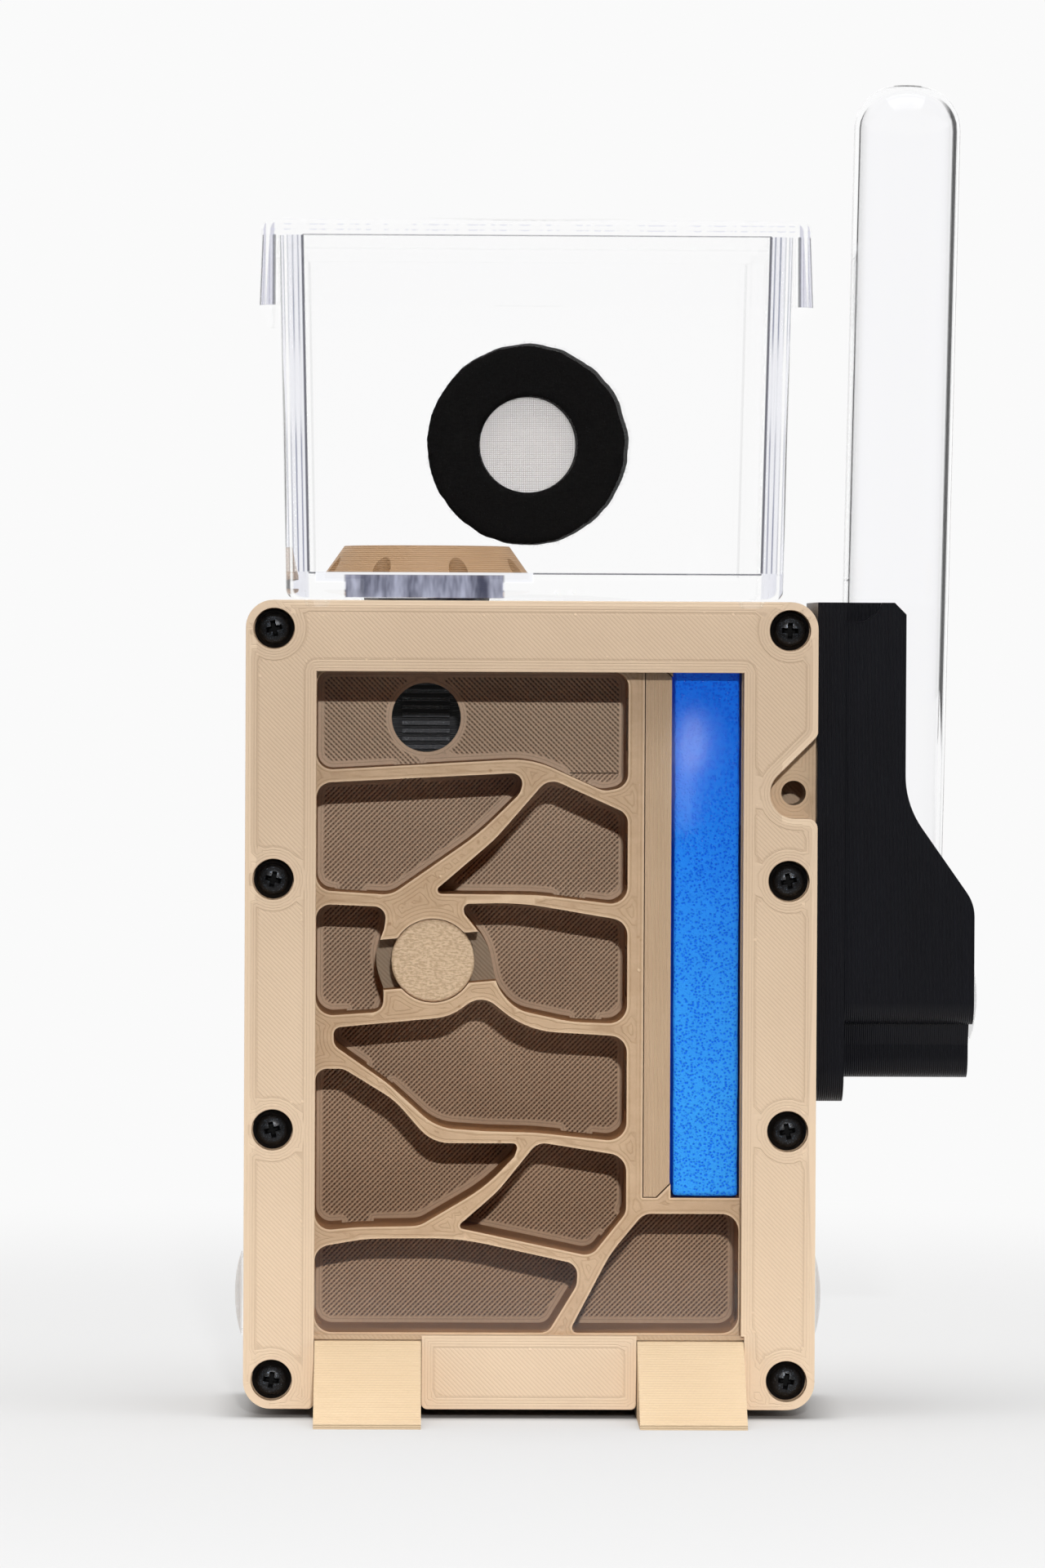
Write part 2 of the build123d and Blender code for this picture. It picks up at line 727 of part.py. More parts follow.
with BuildPart() as outworld_box:
    for width, height in ((box_base_width, 0), (box_top_width, box_height)):
        with BuildSketch(Plane.XY.offset(box_bottom + height)):
            with Locations((nest_x, 0)):
                RectangleRounded(width, width, box_corner)
    loft()
    fillet(faces().sort_by(Axis.Z)[0].edges(), box_base_round)
    for height in (box_floor, box_height):
        with BuildSketch(Plane.XY.offset(box_bottom + height)):
            with Locations((nest_x, 0)):
                inner_width = box_width_at(height) - 2 * box_wall
                RectangleRounded(inner_width, inner_width, box_inner_corner)
    loft(mode=Mode.SUBTRACT)
    # Four small feet under the floor, clear of the nest in front and behind.
    with BuildSketch(Plane.XY.offset(box_bottom)):
        with Locations((nest_x, 0)):
            with GridLocations(box_foot_spacing, box_foot_spacing, 2, 2):
                Circle(box_foot_radius)
    extrude(amount=-box_foot_height, taper=box_foot_taper)
    # Holes for the neck and the vent.
    with BuildSketch(Plane.XY.offset(box_bottom)):
        with Locations((elbow_x, neck_y)):
            Circle(box_hole_radius)
    extrude(amount=box_floor, mode=Mode.SUBTRACT)
    with BuildSketch(Plane(origin=(nest_x, 0, box_bottom + vent_height), x_dir=(1, 0, 0), z_dir=(0, 1, 0))):
        Circle(vent_inner_radius)
    extrude(amount=box_top_width / 2, mode=Mode.SUBTRACT)

outworld_box.part.label = "outworld_box"
export_step(outworld_box.part, "parts/outworld_box.step")


# The vent's plane: the inside of the box's back wall, which leans back with the mould's draft.
vent_lean = atan(box_draft)
vent_face = Plane(
    origin=(nest_x, box_width_at(vent_height) / 2 - box_wall, box_bottom + vent_height),
    x_dir=(1, 0, 0),
    z_dir=(0, -cos(vent_lean), sin(vent_lean)),
)


with BuildPart() as vent_mesh:
    mesh_rows = int(2 * vent_inner_radius / mesh_pitch)
    mesh_places = [
        (mesh_pitch * (column - (mesh_rows - 1) / 2), mesh_pitch * (row - (mesh_rows - 1) / 2))
        for column in range(mesh_rows)
        for row in range(mesh_rows)
    ]
    with BuildSketch(vent_face):
        Circle(mesh_radius)
        with Locations(*[place for place in mesh_places if Vector(*place).length < vent_inner_radius]):
            Rectangle(mesh_gap, mesh_gap, mode=Mode.SUBTRACT)
    extrude(amount=mesh_thickness)

vent_mesh.part.label = "vent_mesh"
export_step(vent_mesh.part, "parts/vent_mesh.step")


with BuildPart() as vent_ring:
    with BuildSketch(vent_face.offset(mesh_thickness)):
        Circle(vent_outer_radius)
        Circle(vent_inner_radius, mode=Mode.SUBTRACT)
    extrude(amount=felt_thickness)

vent_ring.part.label = "vent_ring"
export_step(vent_ring.part, "parts/vent_ring.step")


with BuildPart() as outworld_lid:
    lid_bottom = box_top - lid_drop
    lid_height = lid_drop + lid_top
    for width, height in ((lid_width, 0), (lid_width - 2 * lid_draft, lid_height)):
        with BuildSketch(Plane.XY.offset(lid_bottom + height)):
            with Locations((nest_x, 0)):
                RectangleRounded(width, width, box_corner + lid_clearance)
    loft()
    fillet(faces().sort_by(Axis.Z)[-1].edges(), lid_edge_round)
    with BuildSketch(Plane.XY.offset(lid_bottom)):
        with Locations((nest_x, 0)):
            inner_width = box_top_width + 2 * lid_clearance
            RectangleRounded(inner_width, inner_width, box_corner + lid_clearance)
    extrude(amount=lid_drop, mode=Mode.SUBTRACT)

outworld_lid.part.label = "outworld_lid"
export_step(outworld_lid.part, "parts/outworld_lid.step")


def port_plug(face):
    """A plug whose head lies on the given face, with its shank in the port behind it."""
    with BuildPart() as plug:
        with BuildSketch(face):
            Circle(plug_head_radius)
        extrude(amount=plug_rim)
        dome_radius = (plug_head_radius ** 2 + plug_dome ** 2) / (2 * plug_dome)
        with BuildSketch(Plane(origin=face.origin, x_dir=face.x_dir, z_dir=-face.y_dir)):
            with BuildLine():
                Polyline((plug_head_radius, plug_rim), (0, plug_rim), (0, plug_rim + plug_dome))
                RadiusArc((0, plug_rim + plug_dome), (plug_head_radius, plug_rim), dome_radius)
            make_face()
        revolve(axis=Axis(face.origin, face.z_dir))
        with BuildSketch(face):
            Circle(port_radius - plug_fit)
            Circle(port_radius - plug_fit - plug_wall, mode=Mode.SUBTRACT)
        extrude(amount=-plug_shank)
    return plug


left_port_plug = port_plug(Plane(origin=(nest_left, port_y, nest_z + port_height), z_dir=(-1, 0, 0)))
right_port_plug = port_plug(Plane(origin=(nest_right, port_y, nest_z + port_height), z_dir=(1, 0, 0)))
tower_port_plug = port_plug(Plane(origin=(holder_right, 0, nest_z + gallery_height), z_dir=(1, 0, 0)))

left_port_plug.part.label = "left_port_plug"
export_step(left_port_plug.part, "parts/left_port_plug.step")
right_port_plug.part.label = "right_port_plug"
export_step(right_port_plug.part, "parts/right_port_plug.step")
tower_port_plug.part.label = "tower_port_plug"
export_step(tower_port_plug.part, "parts/tower_port_plug.step")


with BuildPart() as tube_holder:
    # Side plate flat against the nest.
    with BuildSketch(Plane(origin=(nest_right, 0, nest_z), x_dir=(0, 1, 0), z_dir=(1, 0, 0))):
        with Locations((0, (plate_drop + nest_height) / 2)):
            Rectangle(2 * plate_half_depth, nest_height - plate_drop)
        fillet(vertices().group_by(Axis.Y)[0], plate_round)
    extrude(amount=plate_thickness)
    # Main block: narrow beside the tube's upper part, and full width below the shoulder.
    front_side = Plane(origin=(nest_right, -holder_half_depth, nest_z), x_dir=(1, 0, 0), z_dir=(0, -1, 0))
    with BuildSketch(front_side):
        with BuildLine():
            FilletPolyline(
                (plate_thickness, nest_height),
                (holder_top_reach, nest_height),
                (holder_top_reach, shoulder_top),
                (holder_reach, shoulder_bottom),
                (holder_reach, holder_bottom),
                (plate_thickness, holder_bottom),
                radius=[0, shoulder_upper_round, shoulder_lower_round, 0],
            )
            Line((plate_thickness, holder_bottom), (plate_thickness, nest_height))
        make_face()
        chamfer(vertices().sort_by_distance((holder_top_reach, nest_height))[0], holder_chamfer)
    extrude(amount=-2 * holder_half_depth)
    fillet(edges(Select.LAST).filter_by(Axis.X).group_by(Axis.Z)[0], holder_round)
    # Water gallery below the main block, flaring into it.
    gallery_start = nest_right + plate_thickness
    gallery_profile = Plane(origin=(gallery_start, 0, nest_z), x_dir=(0, 1, 0), z_dir=(1, 0, 0))
    with BuildSketch(gallery_profile):
        flare_bottom = holder_bottom - gallery_flare_drop
        flare_half_depth = gallery_half_depth + gallery_flare
        with BuildLine():
            FilletPolyline(
                (-flare_half_depth, holder_bottom),
                (-gallery_half_depth, flare_bottom),
                (-gallery_half_depth, gallery_bottom),
                (gallery_half_depth, gallery_bottom),
                (gallery_half_depth, flare_bottom),
                (flare_half_depth, holder_bottom),
                radius=[0, gallery_round, gallery_round, 0],
            )
            Line((flare_half_depth, holder_bottom), (-flare_half_depth, holder_bottom))
        make_face()
    extrude(amount=holder_reach - plate_thickness - gallery_inset)
    # Spigot and peg into the nest's side.
    side_plane = Plane(origin=(nest_right, 0, nest_z), x_dir=(0, -1, 0), z_dir=(-1, 0, 0))
    with BuildSketch(side_plane):
        with Locations((0, spigot_height), (0, peg_height)):
            Circle(spigot_radius)
    extrude(amount=spigot_length)
    # Socket for the tube, open to the right above the shoulder, with a slot under the tube's mouth.
    with BuildSketch(Plane.XY.offset(nest_z + socket_floor)):
        with Locations((socket_x, 0)):
            Circle(socket_radius)
    extrude(amount=nest_height - socket_floor + cut_past, mode=Mode.SUBTRACT)
    with BuildSketch(Plane.XY.offset(nest_z + socket_floor)):
        with Locations((socket_x, 0)):
            Rectangle(2 * socket_radius, seat_slot_width)
    extrude(amount=-seat_slot_depth, mode=Mode.SUBTRACT)
    # Water way through the spigot, and the port on the right.
    with BuildSketch(side_plane.offset(spigot_length)):
        with Locations((0, spigot_height)):
            Circle(spigot_bore)
    extrude(amount=-spigot_length - socket_reach, mode=Mode.SUBTRACT)
    with BuildSketch(side_plane.offset(-holder_reach)):
        with Locations((0, gallery_height)):
            Circle(port_radius)
    extrude(amount=holder_reach - socket_reach, mode=Mode.SUBTRACT)
    # Round finger scallop at the front's top edge.
    with BuildSketch(front_side):
        with Locations((scallop_reach, nest_height + scallop_rise)):
            Circle(scallop_radius)
    extrude(amount=-scallop_depth, mode=Mode.SUBTRACT)

tube_holder.part.label = "tube_holder"
export_step(tube_holder.part, "parts/tube_holder.step")


with BuildPart() as test_tube:
    # Upturned: its mouth is on the socket's floor and it leans a little away from the nest.
    lean = radians(tube_lean)
    tube_foot = (tube_bottom_x, 0, nest_z + socket_floor + tube_radius * sin(lean))
    with BuildSketch(Plane(origin=tube_foot, x_dir=(cos(lean), 0, -sin(lean)), z_dir=(0, -1, 0))):
        tube_inner = tube_radius - tube_wall
        with BuildLine():
            FilletPolyline((0, tube_length), (tube_radius, tube_length), (tube_radius, 0), radius=tube_dome)
            FilletPolyline(
                (0, tube_length - tube_wall),
                (tube_inner, tube_length - tube_wall),
                (tube_inner, 0),
                radius=tube_dome - tube_wall,
            )
            Line((0, tube_length), (0, tube_length - tube_wall))
            Line((tube_inner, 0), (tube_radius, 0))
        make_face()
        fillet(vertices().group_by(Axis.Y)[0], tube_rim)
    revolve(axis=Axis(tube_foot, (sin(lean), 0, cos(lean))))

test_tube.part.label = "test_tube"
export_step(test_tube.part, "parts/test_tube.step")


def saddle_foot(middle):
    """A foot under the nest: a thin sole with a wedge in front and another behind."""
    with BuildPart() as foot:
        side_face = Plane(origin=(nest_x + middle - foot_width / 2, 0, 0), x_dir=(0, 1, 0), z_dir=(1, 0, 0))
        wedge_top = nest_z + foot_top
        sole_front = nest_front - foot_reach
        with BuildSketch(side_face):
            with BuildLine():
                Polyline(
                    (sole_front, 0),
                    (sole_front, foot_toe),
                    (nest_front, wedge_top),
                    (body_front - foot_fit, wedge_top),
                    (body_front - foot_fit, foot_plate),
                    (body_back + foot_fit, foot_plate),
                    (body_back + foot_fit, wedge_top),
                    (body_back + foot_fit + foot_rear_top, wedge_top),
                    (-sole_front, foot_toe),
                    (-sole_front, 0),
                    close=True,
                )
            make_face()
        extrude(amount=foot_width)
    return foot


left_foot = saddle_foot(feet["left_foot"])
right_foot = saddle_foot(feet["right_foot"])

left_foot.part.label = "left_foot"
export_step(left_foot.part, "parts/left_foot.step")
right_foot.part.label = "right_foot"
export_step(right_foot.part, "parts/right_foot.step")

print("parts written")
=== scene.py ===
import math

import bmesh
import bpy
import numpy as np
from mathutils import Matrix, Vector, noise
from mathutils.geometry import delaunay_2d_cdt


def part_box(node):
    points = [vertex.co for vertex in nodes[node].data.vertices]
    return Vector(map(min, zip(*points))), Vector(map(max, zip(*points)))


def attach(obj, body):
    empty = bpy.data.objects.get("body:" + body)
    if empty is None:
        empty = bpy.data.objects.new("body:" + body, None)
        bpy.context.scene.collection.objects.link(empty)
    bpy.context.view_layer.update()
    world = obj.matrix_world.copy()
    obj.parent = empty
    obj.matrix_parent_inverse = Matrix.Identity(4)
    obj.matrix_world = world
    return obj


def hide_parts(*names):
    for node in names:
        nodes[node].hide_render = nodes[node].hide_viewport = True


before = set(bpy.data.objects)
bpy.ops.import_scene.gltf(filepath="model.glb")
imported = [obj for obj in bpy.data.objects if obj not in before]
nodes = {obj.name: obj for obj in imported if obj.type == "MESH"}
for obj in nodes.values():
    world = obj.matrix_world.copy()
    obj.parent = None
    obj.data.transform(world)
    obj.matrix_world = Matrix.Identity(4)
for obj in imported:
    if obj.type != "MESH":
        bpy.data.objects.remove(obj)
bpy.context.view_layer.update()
mm = 0.001

# The nest's middle across, its bottom edge and its middle height in the shared frame.
bodyLow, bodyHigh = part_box("nest_body")
nestX = (bodyLow.x + bodyHigh.x) / 2
nestZ = bodyLow.z
nestMiddle = (bodyLow.z + bodyHigh.z) / 2
print("frame loaded")


# Shader maths: a Value wraps a socket, and arithmetic on it adds Math nodes.
class Value:
    def __init__(self, maker, node, socket):
        self.maker = maker
        self.node = node
        self.socket = socket

    def math(self, operation, *others):
        return self.maker.math(operation, self, *others)

    def __add__(self, other):
        return self.math("ADD", other)

    __radd__ = __add__

    def __sub__(self, other):
        return self.math("SUBTRACT", other)

    def __rsub__(self, other):
        return self.maker.math("SUBTRACT", other, self)

    def __mul__(self, other):
        return self.math("MULTIPLY", other)

    __rmul__ = __mul__

    def __truediv__(self, other):
        return self.math("DIVIDE", other)

    def __rtruediv__(self, other):
        return self.maker.math("DIVIDE", other, self)

    def __pow__(self, other):
        return self.math("POWER", other)

    def __neg__(self):
        return 0 - self

    def abs(self):
        return self.math("ABSOLUTE")

    def sin(self):
        return self.math("SINE")

    # A soft step from 0 at low to 1 at high.
    def rise(self, low, high):
        values = {"Value": self, "From Min": low, "From Max": high}
        return self.maker.add("ShaderNodeMapRange", {"interpolation_type": "SMOOTHSTEP"}, values)

    def out(self, name):
        return Value(self.maker, self.node, self.node.outputs[name])


class Maker:
    def __init__(self, tree):
        self.tree = tree

    def add(self, kind, settings=None, values=None):
        node = self.tree.nodes.new(kind)
        for name, value in (settings or {}).items():
            setattr(node, name, value)
        for name, value in (values or {}).items():
            socket = node.inputs[name]
            if isinstance(value, Value):
                self.tree.links.new(value.socket, socket)
            else:
                socket.default_value = value
        shown = [socket for socket in node.outputs if socket.enabled]
        return Value(self, node, shown[0]) if shown else None

    def math(self, operation, *values):
        return self.add("ShaderNodeMath", {"operation": operation}, dict(enumerate(values)))

    # Object coordinates and the surface's own direction, as separate values.
    def place(self):
        return self.add("ShaderNodeTexCoord").out("Object")

    def split(self, vector):
        parts = self.add("ShaderNodeSeparateXYZ", {}, {0: vector})
        return parts.out("X"), parts.out("Y"), parts.out("Z")

    def places(self):
        place = self.place()
        return (place, *self.split(place))

    def facing(self):
        return self.split(self.add("ShaderNodeNewGeometry").out("Normal"))

    # 1 where a ray meets a face from its outer side.
    def entering(self):
        return 1 - self.add("ShaderNodeNewGeometry").out("Backfacing")

    def stretch(self, vector, scale):
        return self.add("ShaderNodeMapping", {}, {"Vector": vector, "Scale": scale})

    def noise(self, vector, scale, detail=2.0, roughness=0.5):
        values = {"Vector": vector, "Scale": scale, "Detail": detail, "Roughness": roughness}
        return self.add("ShaderNodeTexNoise", {}, values)

    # Noise drawn out along an axis: scale has a number for each axis.
    def streaks(self, vector, scale, detail=2.0, roughness=0.5):
        return self.noise(self.stretch(vector, scale), 1.0, detail, roughness)

    # The distance to the middle of the nearest cell.
    def cells(self, vector, scale):
        return self.add("ShaderNodeTexVoronoi", {}, {"Vector": vector, "Scale": scale}).out("Distance")

    def mix(self, factor, first, second):
        values = {0: factor, 6: first, 7: second}
        return self.add("ShaderNodeMix", {"data_type": "RGBA"}, values)

    def mixValue(self, factor, first, second):
        values = {0: factor, 2: first, 3: second}
        return self.add("ShaderNodeMix", {"data_type": "FLOAT"}, values)

    # A height in metres becomes a normal.
    def bump(self, height):
        return self.add("ShaderNodeBump", {}, {"Height": height, "Distance": 1.0, "Strength": 1.0})


def colour(red, green, blue):
    # sRGB 0-255 to linear values.
    def linear(value):
        value = value / 255
        return value / 12.92 if value <= 0.04045 else ((value + 0.055) / 1.055) ** 2.4

    return (linear(red), linear(green), linear(blue), 1.0)


white = (1.0, 1.0, 1.0, 1.0)
unlit = (0.0, 0.0, 0.0, 1.0)
clearTone = (0.99, 0.99, 1.0, 1.0)


# A new material with one shader: looks is a function that returns the values of its changing sockets.
def material(name, looks, **constants):
    made = bpy.data.materials.new(name)
    made.use_nodes = True
    shader = made.node_tree.nodes["Principled BSDF"]
    for socket, value in constants.items():
        shader.inputs[socket.replace("_", " ")].default_value = value
    maker = Maker(made.node_tree)
    for socket, value in looks(maker).items():
        if isinstance(value, Value):
            maker.tree.links.new(value.socket, shader.inputs[socket])
        else:
            shader.inputs[socket].default_value = value
    return made


def paint(piece, finish):
    piece.data.materials.clear()
    piece.data.materials.append(finish)
    for face in piece.data.polygons:
        face.material_index = 0


def addObject(name, data):
    made = bpy.data.objects.new(name, data)
    bpy.context.scene.collection.objects.link(made)
    return made


def smoothFaces(mesh):
    mesh.polygons.foreach_set("use_smooth", [True] * len(mesh.polygons))


def meshObject(name, vertices, faces):
    mesh = bpy.data.meshes.new(name)
    mesh.from_pydata(vertices, [], faces)
    mesh.update()
    return addObject(name, mesh)


# Turns all faces outward, after merging the corners that lie within a distance.
def faceOutward(piece, merging=0.0):
    mesh = bmesh.new()
    mesh.from_mesh(piece.data)
    if merging:
        bmesh.ops.remove_doubles(mesh, verts=mesh.verts, dist=merging)
    bmesh.ops.recalc_face_normals(mesh, faces=mesh.faces)
    mesh.to_mesh(piece.data)
    mesh.free()


# Printed plastic: layers stacked along one axis show as fine lines on the sides, and as raster
# lines at 45 degrees on the faces across the stack.
printFinish = {
    "layer": 0.32 * mm,
    "raster": 0.5 * mm,
    "layerDepth": 0.035 * mm,
    "rasterDepth": 0.03 * mm,
}


def printedLooks(base, dark, stack, roughness=0.55):
    def looks(maker):
        place = maker.place()
        parts = maker.split(place)
        across = [parts[axis] for axis in range(3) if axis != stack]
        endFace = maker.facing()[stack].abs().rise(0.75, 0.95)
        wander = maker.noise(place, 900.0) * 0.075 * mm
        layers = ((parts[stack] + wander) * (math.tau / printFinish["layer"])).sin()
        raster = ((across[0] + across[1]) * (math.tau / printFinish["raster"] / math.sqrt(2))).sin()
        layers, raster = layers * printFinish["layerDepth"], raster * printFinish["rasterDepth"]
        lines = maker.mixValue(endFace, layers, raster)
        grain = maker.noise(place, 2600.0, 3.0, 0.6)
        patches = maker.noise(place, 60.0, 3.0, 0.55)
        banding = maker.streaks(place, [900.0 if axis == stack else 4.0 for axis in range(3)])
        banding = (banding - 0.5) * 0.5 * (1 - endFace)
        shade = (patches - 0.5) * 0.5 + banding + (grain - 0.5) * 0.25 + 0.5
        tone = maker.mix(shade, dark, base)
        height = lines + grain * 0.03 * mm
        return {
            "Base Color": tone,
            "Roughness": roughness + (grain - 0.5) * 0.2,
            "Normal": maker.bump(height),
        }

    return looks


tan = colour(215, 188, 158)
tanDark = colour(187, 156, 124)


# The part of the nest that holds the chambers: half its width and height, and how far back it goes.
chambers = {"halfWidth": 36.5 * mm, "halfHeight": 53.1 * mm, "back": 16.4 * mm, "edge": 0.1 * mm}


# The nest's print: plain outside. Inside the chambers it is painted darker as shade, and on the side
# walls warmer, as painted bounce light from wall to wall.
def nestLooks(maker):
    values = printedLooks(tan, tanDark, 1)(maker)
    warm = printedLooks(colour(184, 136, 92), colour(150, 102, 62), 1)(maker)["Base Color"]
    x, y, z = maker.split(maker.place())
    warm = maker.mix((-maker.facing()[1]).rise(0.75, 0.95), warm, colour(168, 146, 122))

    def upTo(value, limit):
        return 1 - value.rise(limit - chambers["edge"], limit + chambers["edge"])

    within = upTo((x - nestX).abs(), chambers["halfWidth"]) * upTo(y, chambers["back"])
    within = within * upTo((z - nestMiddle).abs(), chambers["halfHeight"])
    values["Base Color"] = maker.mix(within, values["Base Color"], warm)
    return values


tanPrint = material("tanPrint", nestLooks, Specular_IOR_Level=0.35)
tanPrintFrame = material("tanPrintFrame", printedLooks(tan, tanDark, 1), Specular_IOR_Level=0.35)
# The nut's tan is a darker copy: painted shade for the lesser light that reaches it inside the clear
# box.
tanPrintNut = material("tanPrintNut", printedLooks(colour(182, 146, 107), colour(146, 113, 78), 2))
tanPrintFeet = material("tanPrintFeet", printedLooks(colour(228, 203, 168), colour(204, 175, 138), 2))
tanGrate = printedLooks(colour(232, 202, 168), colour(202, 168, 134), 0)
tanPrintGrate = material("tanPrintGrate", tanGrate, Specular_IOR_Level=0.35)
tanBlock = printedLooks(colour(200, 174, 148), colour(172, 146, 120), 1)
tanPrintBlock = material("tanPrintBlock", tanBlock, Specular_IOR_Level=0.35)


# The knob's face was printed against a rough sheet: a wavy, pebbled mottle.
def knobLooks(maker):
    place = maker.place()
    pebbles = maker.noise(maker.stretch(place, [0.65, 1.0, 1.4]), 2300.0, 3.0, 0.6)
    grain = maker.noise(place, 4200.0)
    shade = pebbles.rise(0.36, 0.62) * 0.65 + (grain - 0.5) * 0.3 + 0.2
    return {
        "Base Color": maker.mix(shade, colour(198, 165, 128), colour(242, 214, 180)),
        "Roughness": 0.4 + pebbles * 0.2,
        "Normal": maker.bump(pebbles.rise(0.35, 0.65) * 0.06 * mm),
    }


tanPrintKnob = material("tanPrintKnob", knobLooks, Specular_IOR_Level=0.35)
black = colour(18, 19, 27)
blackDark = colour(7, 7, 11)
holderLooks = printedLooks(black, blackDark, 0, roughness=0.38)
blackPrint = material("blackPrint", holderLooks, Specular_IOR_Level=0.2)


# The elbow: satin black, with painted highlights where the rungs on its back wall catch the light, and
# painted glints on their ends.
def elbowLooks(maker):
    values = printedLooks(black, blackDark, 2, roughness=0.4)(maker)
    x, y, z = maker.split(maker.place())
    rung = 1 - (y - rungFront).abs().rise(0.3 * mm, 0.35 * mm)
    specksAndGlints = maker.noise(maker.place(), 1900.0, 3.0, 0.7).rise(0.52, 0.66)
    ends = (x - entranceX).abs().rise(2.2 * mm, 3.4 * mm)
    shine = rung * (0.35 + specksAndGlints * (0.25 + ends * 0.9))
    values["Base Color"] = maker.mix(shine, values["Base Color"], colour(122, 124, 130))
    return values


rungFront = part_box("entrance_elbow")[1].y - 3.8 * mm
entranceX = nestX - 16.0 * mm
blackPrintUpright = material("blackPrintUpright", elbowLooks, Specular_IOR_Level=0.5)


# Clear plastics and glass.
def clearLooks(scratches):
    def looks(maker):
        place = maker.place()
        streaks = maker.streaks(place, [700.0, 700.0, 9.0])
        marks = maker.noise(place, 500.0, 4.0, 0.7)
        height = (streaks * 0.02 + marks * 0.01) * scratches * mm
        return {
            "Base Color": maker.mix(marks, clearTone, white),
            "Roughness": marks.rise(0.6, 0.9) * scratches * 0.05,
            "Normal": maker.bump(height),
        }

    return looks


# A thin dark groove at every step of a phase that is counted in beads.
def groove(phase, width):
    share = phase.math("FRACT")
    return (share - 0.5).abs().rise(0.5 - width, 0.5)


# A line drawn where a value passes a place, 1 in its middle and 0 a width away.
def lineAt(value, place, width):
    return 1 - (value - place).abs().rise(width * 0.4, width)


# The clear box and its lid: flat walls that hardly show, and corners seen edge on, with upright painted
# reflection lines. The lines lie on the outer faces alone, so that each shows once and sharp.
boxLow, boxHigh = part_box("outworld_box")
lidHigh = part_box("outworld_lid")[1]
clearBox = {
    "draft": 0.0222,
    "inside": 34.85 * mm,
    "outside": 3.45 * mm,
    "linePitch": 0.8 * mm,
    "glare": boxHigh.z - 22.5 * mm,
    "floorTop": boxLow.z + 5.05 * mm,
    "neck": nestX - 16.5 * mm,
    "neckReach": 11.6 * mm,
    "skirt": 2.3 * mm,
    "skirtPitch": 0.62 * mm,
}


# Painted reflections: upright lines in the corners, the walls' inner faces and the floor's top as dark
# lines, the floor darker near the corners, and a painted glare that fades the lines. At the floor's
# front the elbow's neck and its pale lip are painted as seen through the wall, with a painted glow.
def boxLooks(maker):
    place, x, y, z = maker.places()
    slant = (boxHigh.z - z) * clearBox["draft"] - clearBox["inside"]
    across = (x - nestX).abs().math("MINIMUM", y.abs()) + slant
    reach = (x - nestX).abs().math("MAXIMUM", y.abs()) + slant
    entering = maker.entering()
    outer = reach.rise(clearBox["outside"] - 0.9 * mm, clearBox["outside"] - 0.5 * mm) * entering
    streaks = maker.streaks(place, [700.0, 700.0, 9.0])
    fade = maker.streaks(place, [260.0, 260.0, 40.0]).rise(0.3, 0.6)
    # Painted glare: the lines fade out in a band below the box's top.
    glare = 1 - (z - clearBox["glare"]).abs().rise(2.0 * mm, 9.0 * mm)
    above = z.rise(clearBox["floorTop"], clearBox["floorTop"] + 0.3 * mm)
    side = across.rise(-0.1 * mm, 0.1 * mm) * outer
    reflectionLines = groove(across / clearBox["linePitch"] + streaks * 0.25, 0.3) * side * above
    reflectionLines = reflectionLines * (0.6 + fade * 0.4) * (1 - glare * 0.85)
    inner = lineAt(across, 0.0, 0.3 * mm) * outer * above
    behind = lineAt(across, 0.0, 0.3 * mm) * (1 - entering) * above * 0.12
    floorLine = lineAt(z, clearBox["floorTop"], 0.2 * mm) * outer * (1 - side)
    base = (1 - above) * outer
    front = base * (-y).rise(0.0, 1.0 * mm)
    corner = base * across.rise(-1.0 * mm, 3.0 * mm)
    # Painted glow: the neck shows dim to pale lavender, and its lip near white.
    fromNeck = (x - clearBox["neck"]).abs() - clearBox["neckReach"]
    low = 1 - z.rise(boxLow.z + 4.7 * mm, boxLow.z + 4.9 * mm)
    neck = front * low * (1 - fromNeck.rise(0.0, 0.5 * mm))
    lipHighlight = front * z.rise(boxLow.z + 3.6 * mm, boxLow.z + 3.8 * mm) * (1 - neck)
    lipHighlight = lipHighlight * (1 - fromNeck.rise(4.5 * mm, 4.7 * mm))
    waves = maker.streaks(place, [330.0, 1.0, 90.0], 3.0, 0.6)
    tone = maker.mix(side, clearTone, (0.66, 0.67, 0.79, 1.0))
    tone = maker.mix(corner * waves.rise(0.35, 0.65), tone, (0.3, 0.31, 0.42, 1.0))
    tone = maker.mix(reflectionLines, tone, (0.05, 0.06, 0.13, 1.0))
    lines = (inner + floorLine + behind * 8).math("MINIMUM", 1.0)
    tone = maker.mix(lines, tone, (0.02, 0.02, 0.03, 1.0))
    tone = maker.mix(neck + lipHighlight, tone, unlit)
    alpha = 0.05 + side * 0.5 + reflectionLines * 0.45 + inner * 0.9 + floorLine * 0.8 + corner * 0.35
    alpha = alpha + neck + lipHighlight + behind
    glow = maker.mix(waves.rise(0.3, 0.7), colour(76, 78, 96), colour(190, 193, 214))
    glow = maker.mix(neck, unlit, glow)
    return {
        "Base Color": tone,
        "Alpha": alpha.math("MINIMUM", 0.95),
        "Emission Color": maker.mix(lipHighlight, glow, colour(246, 247, 251)),
    }
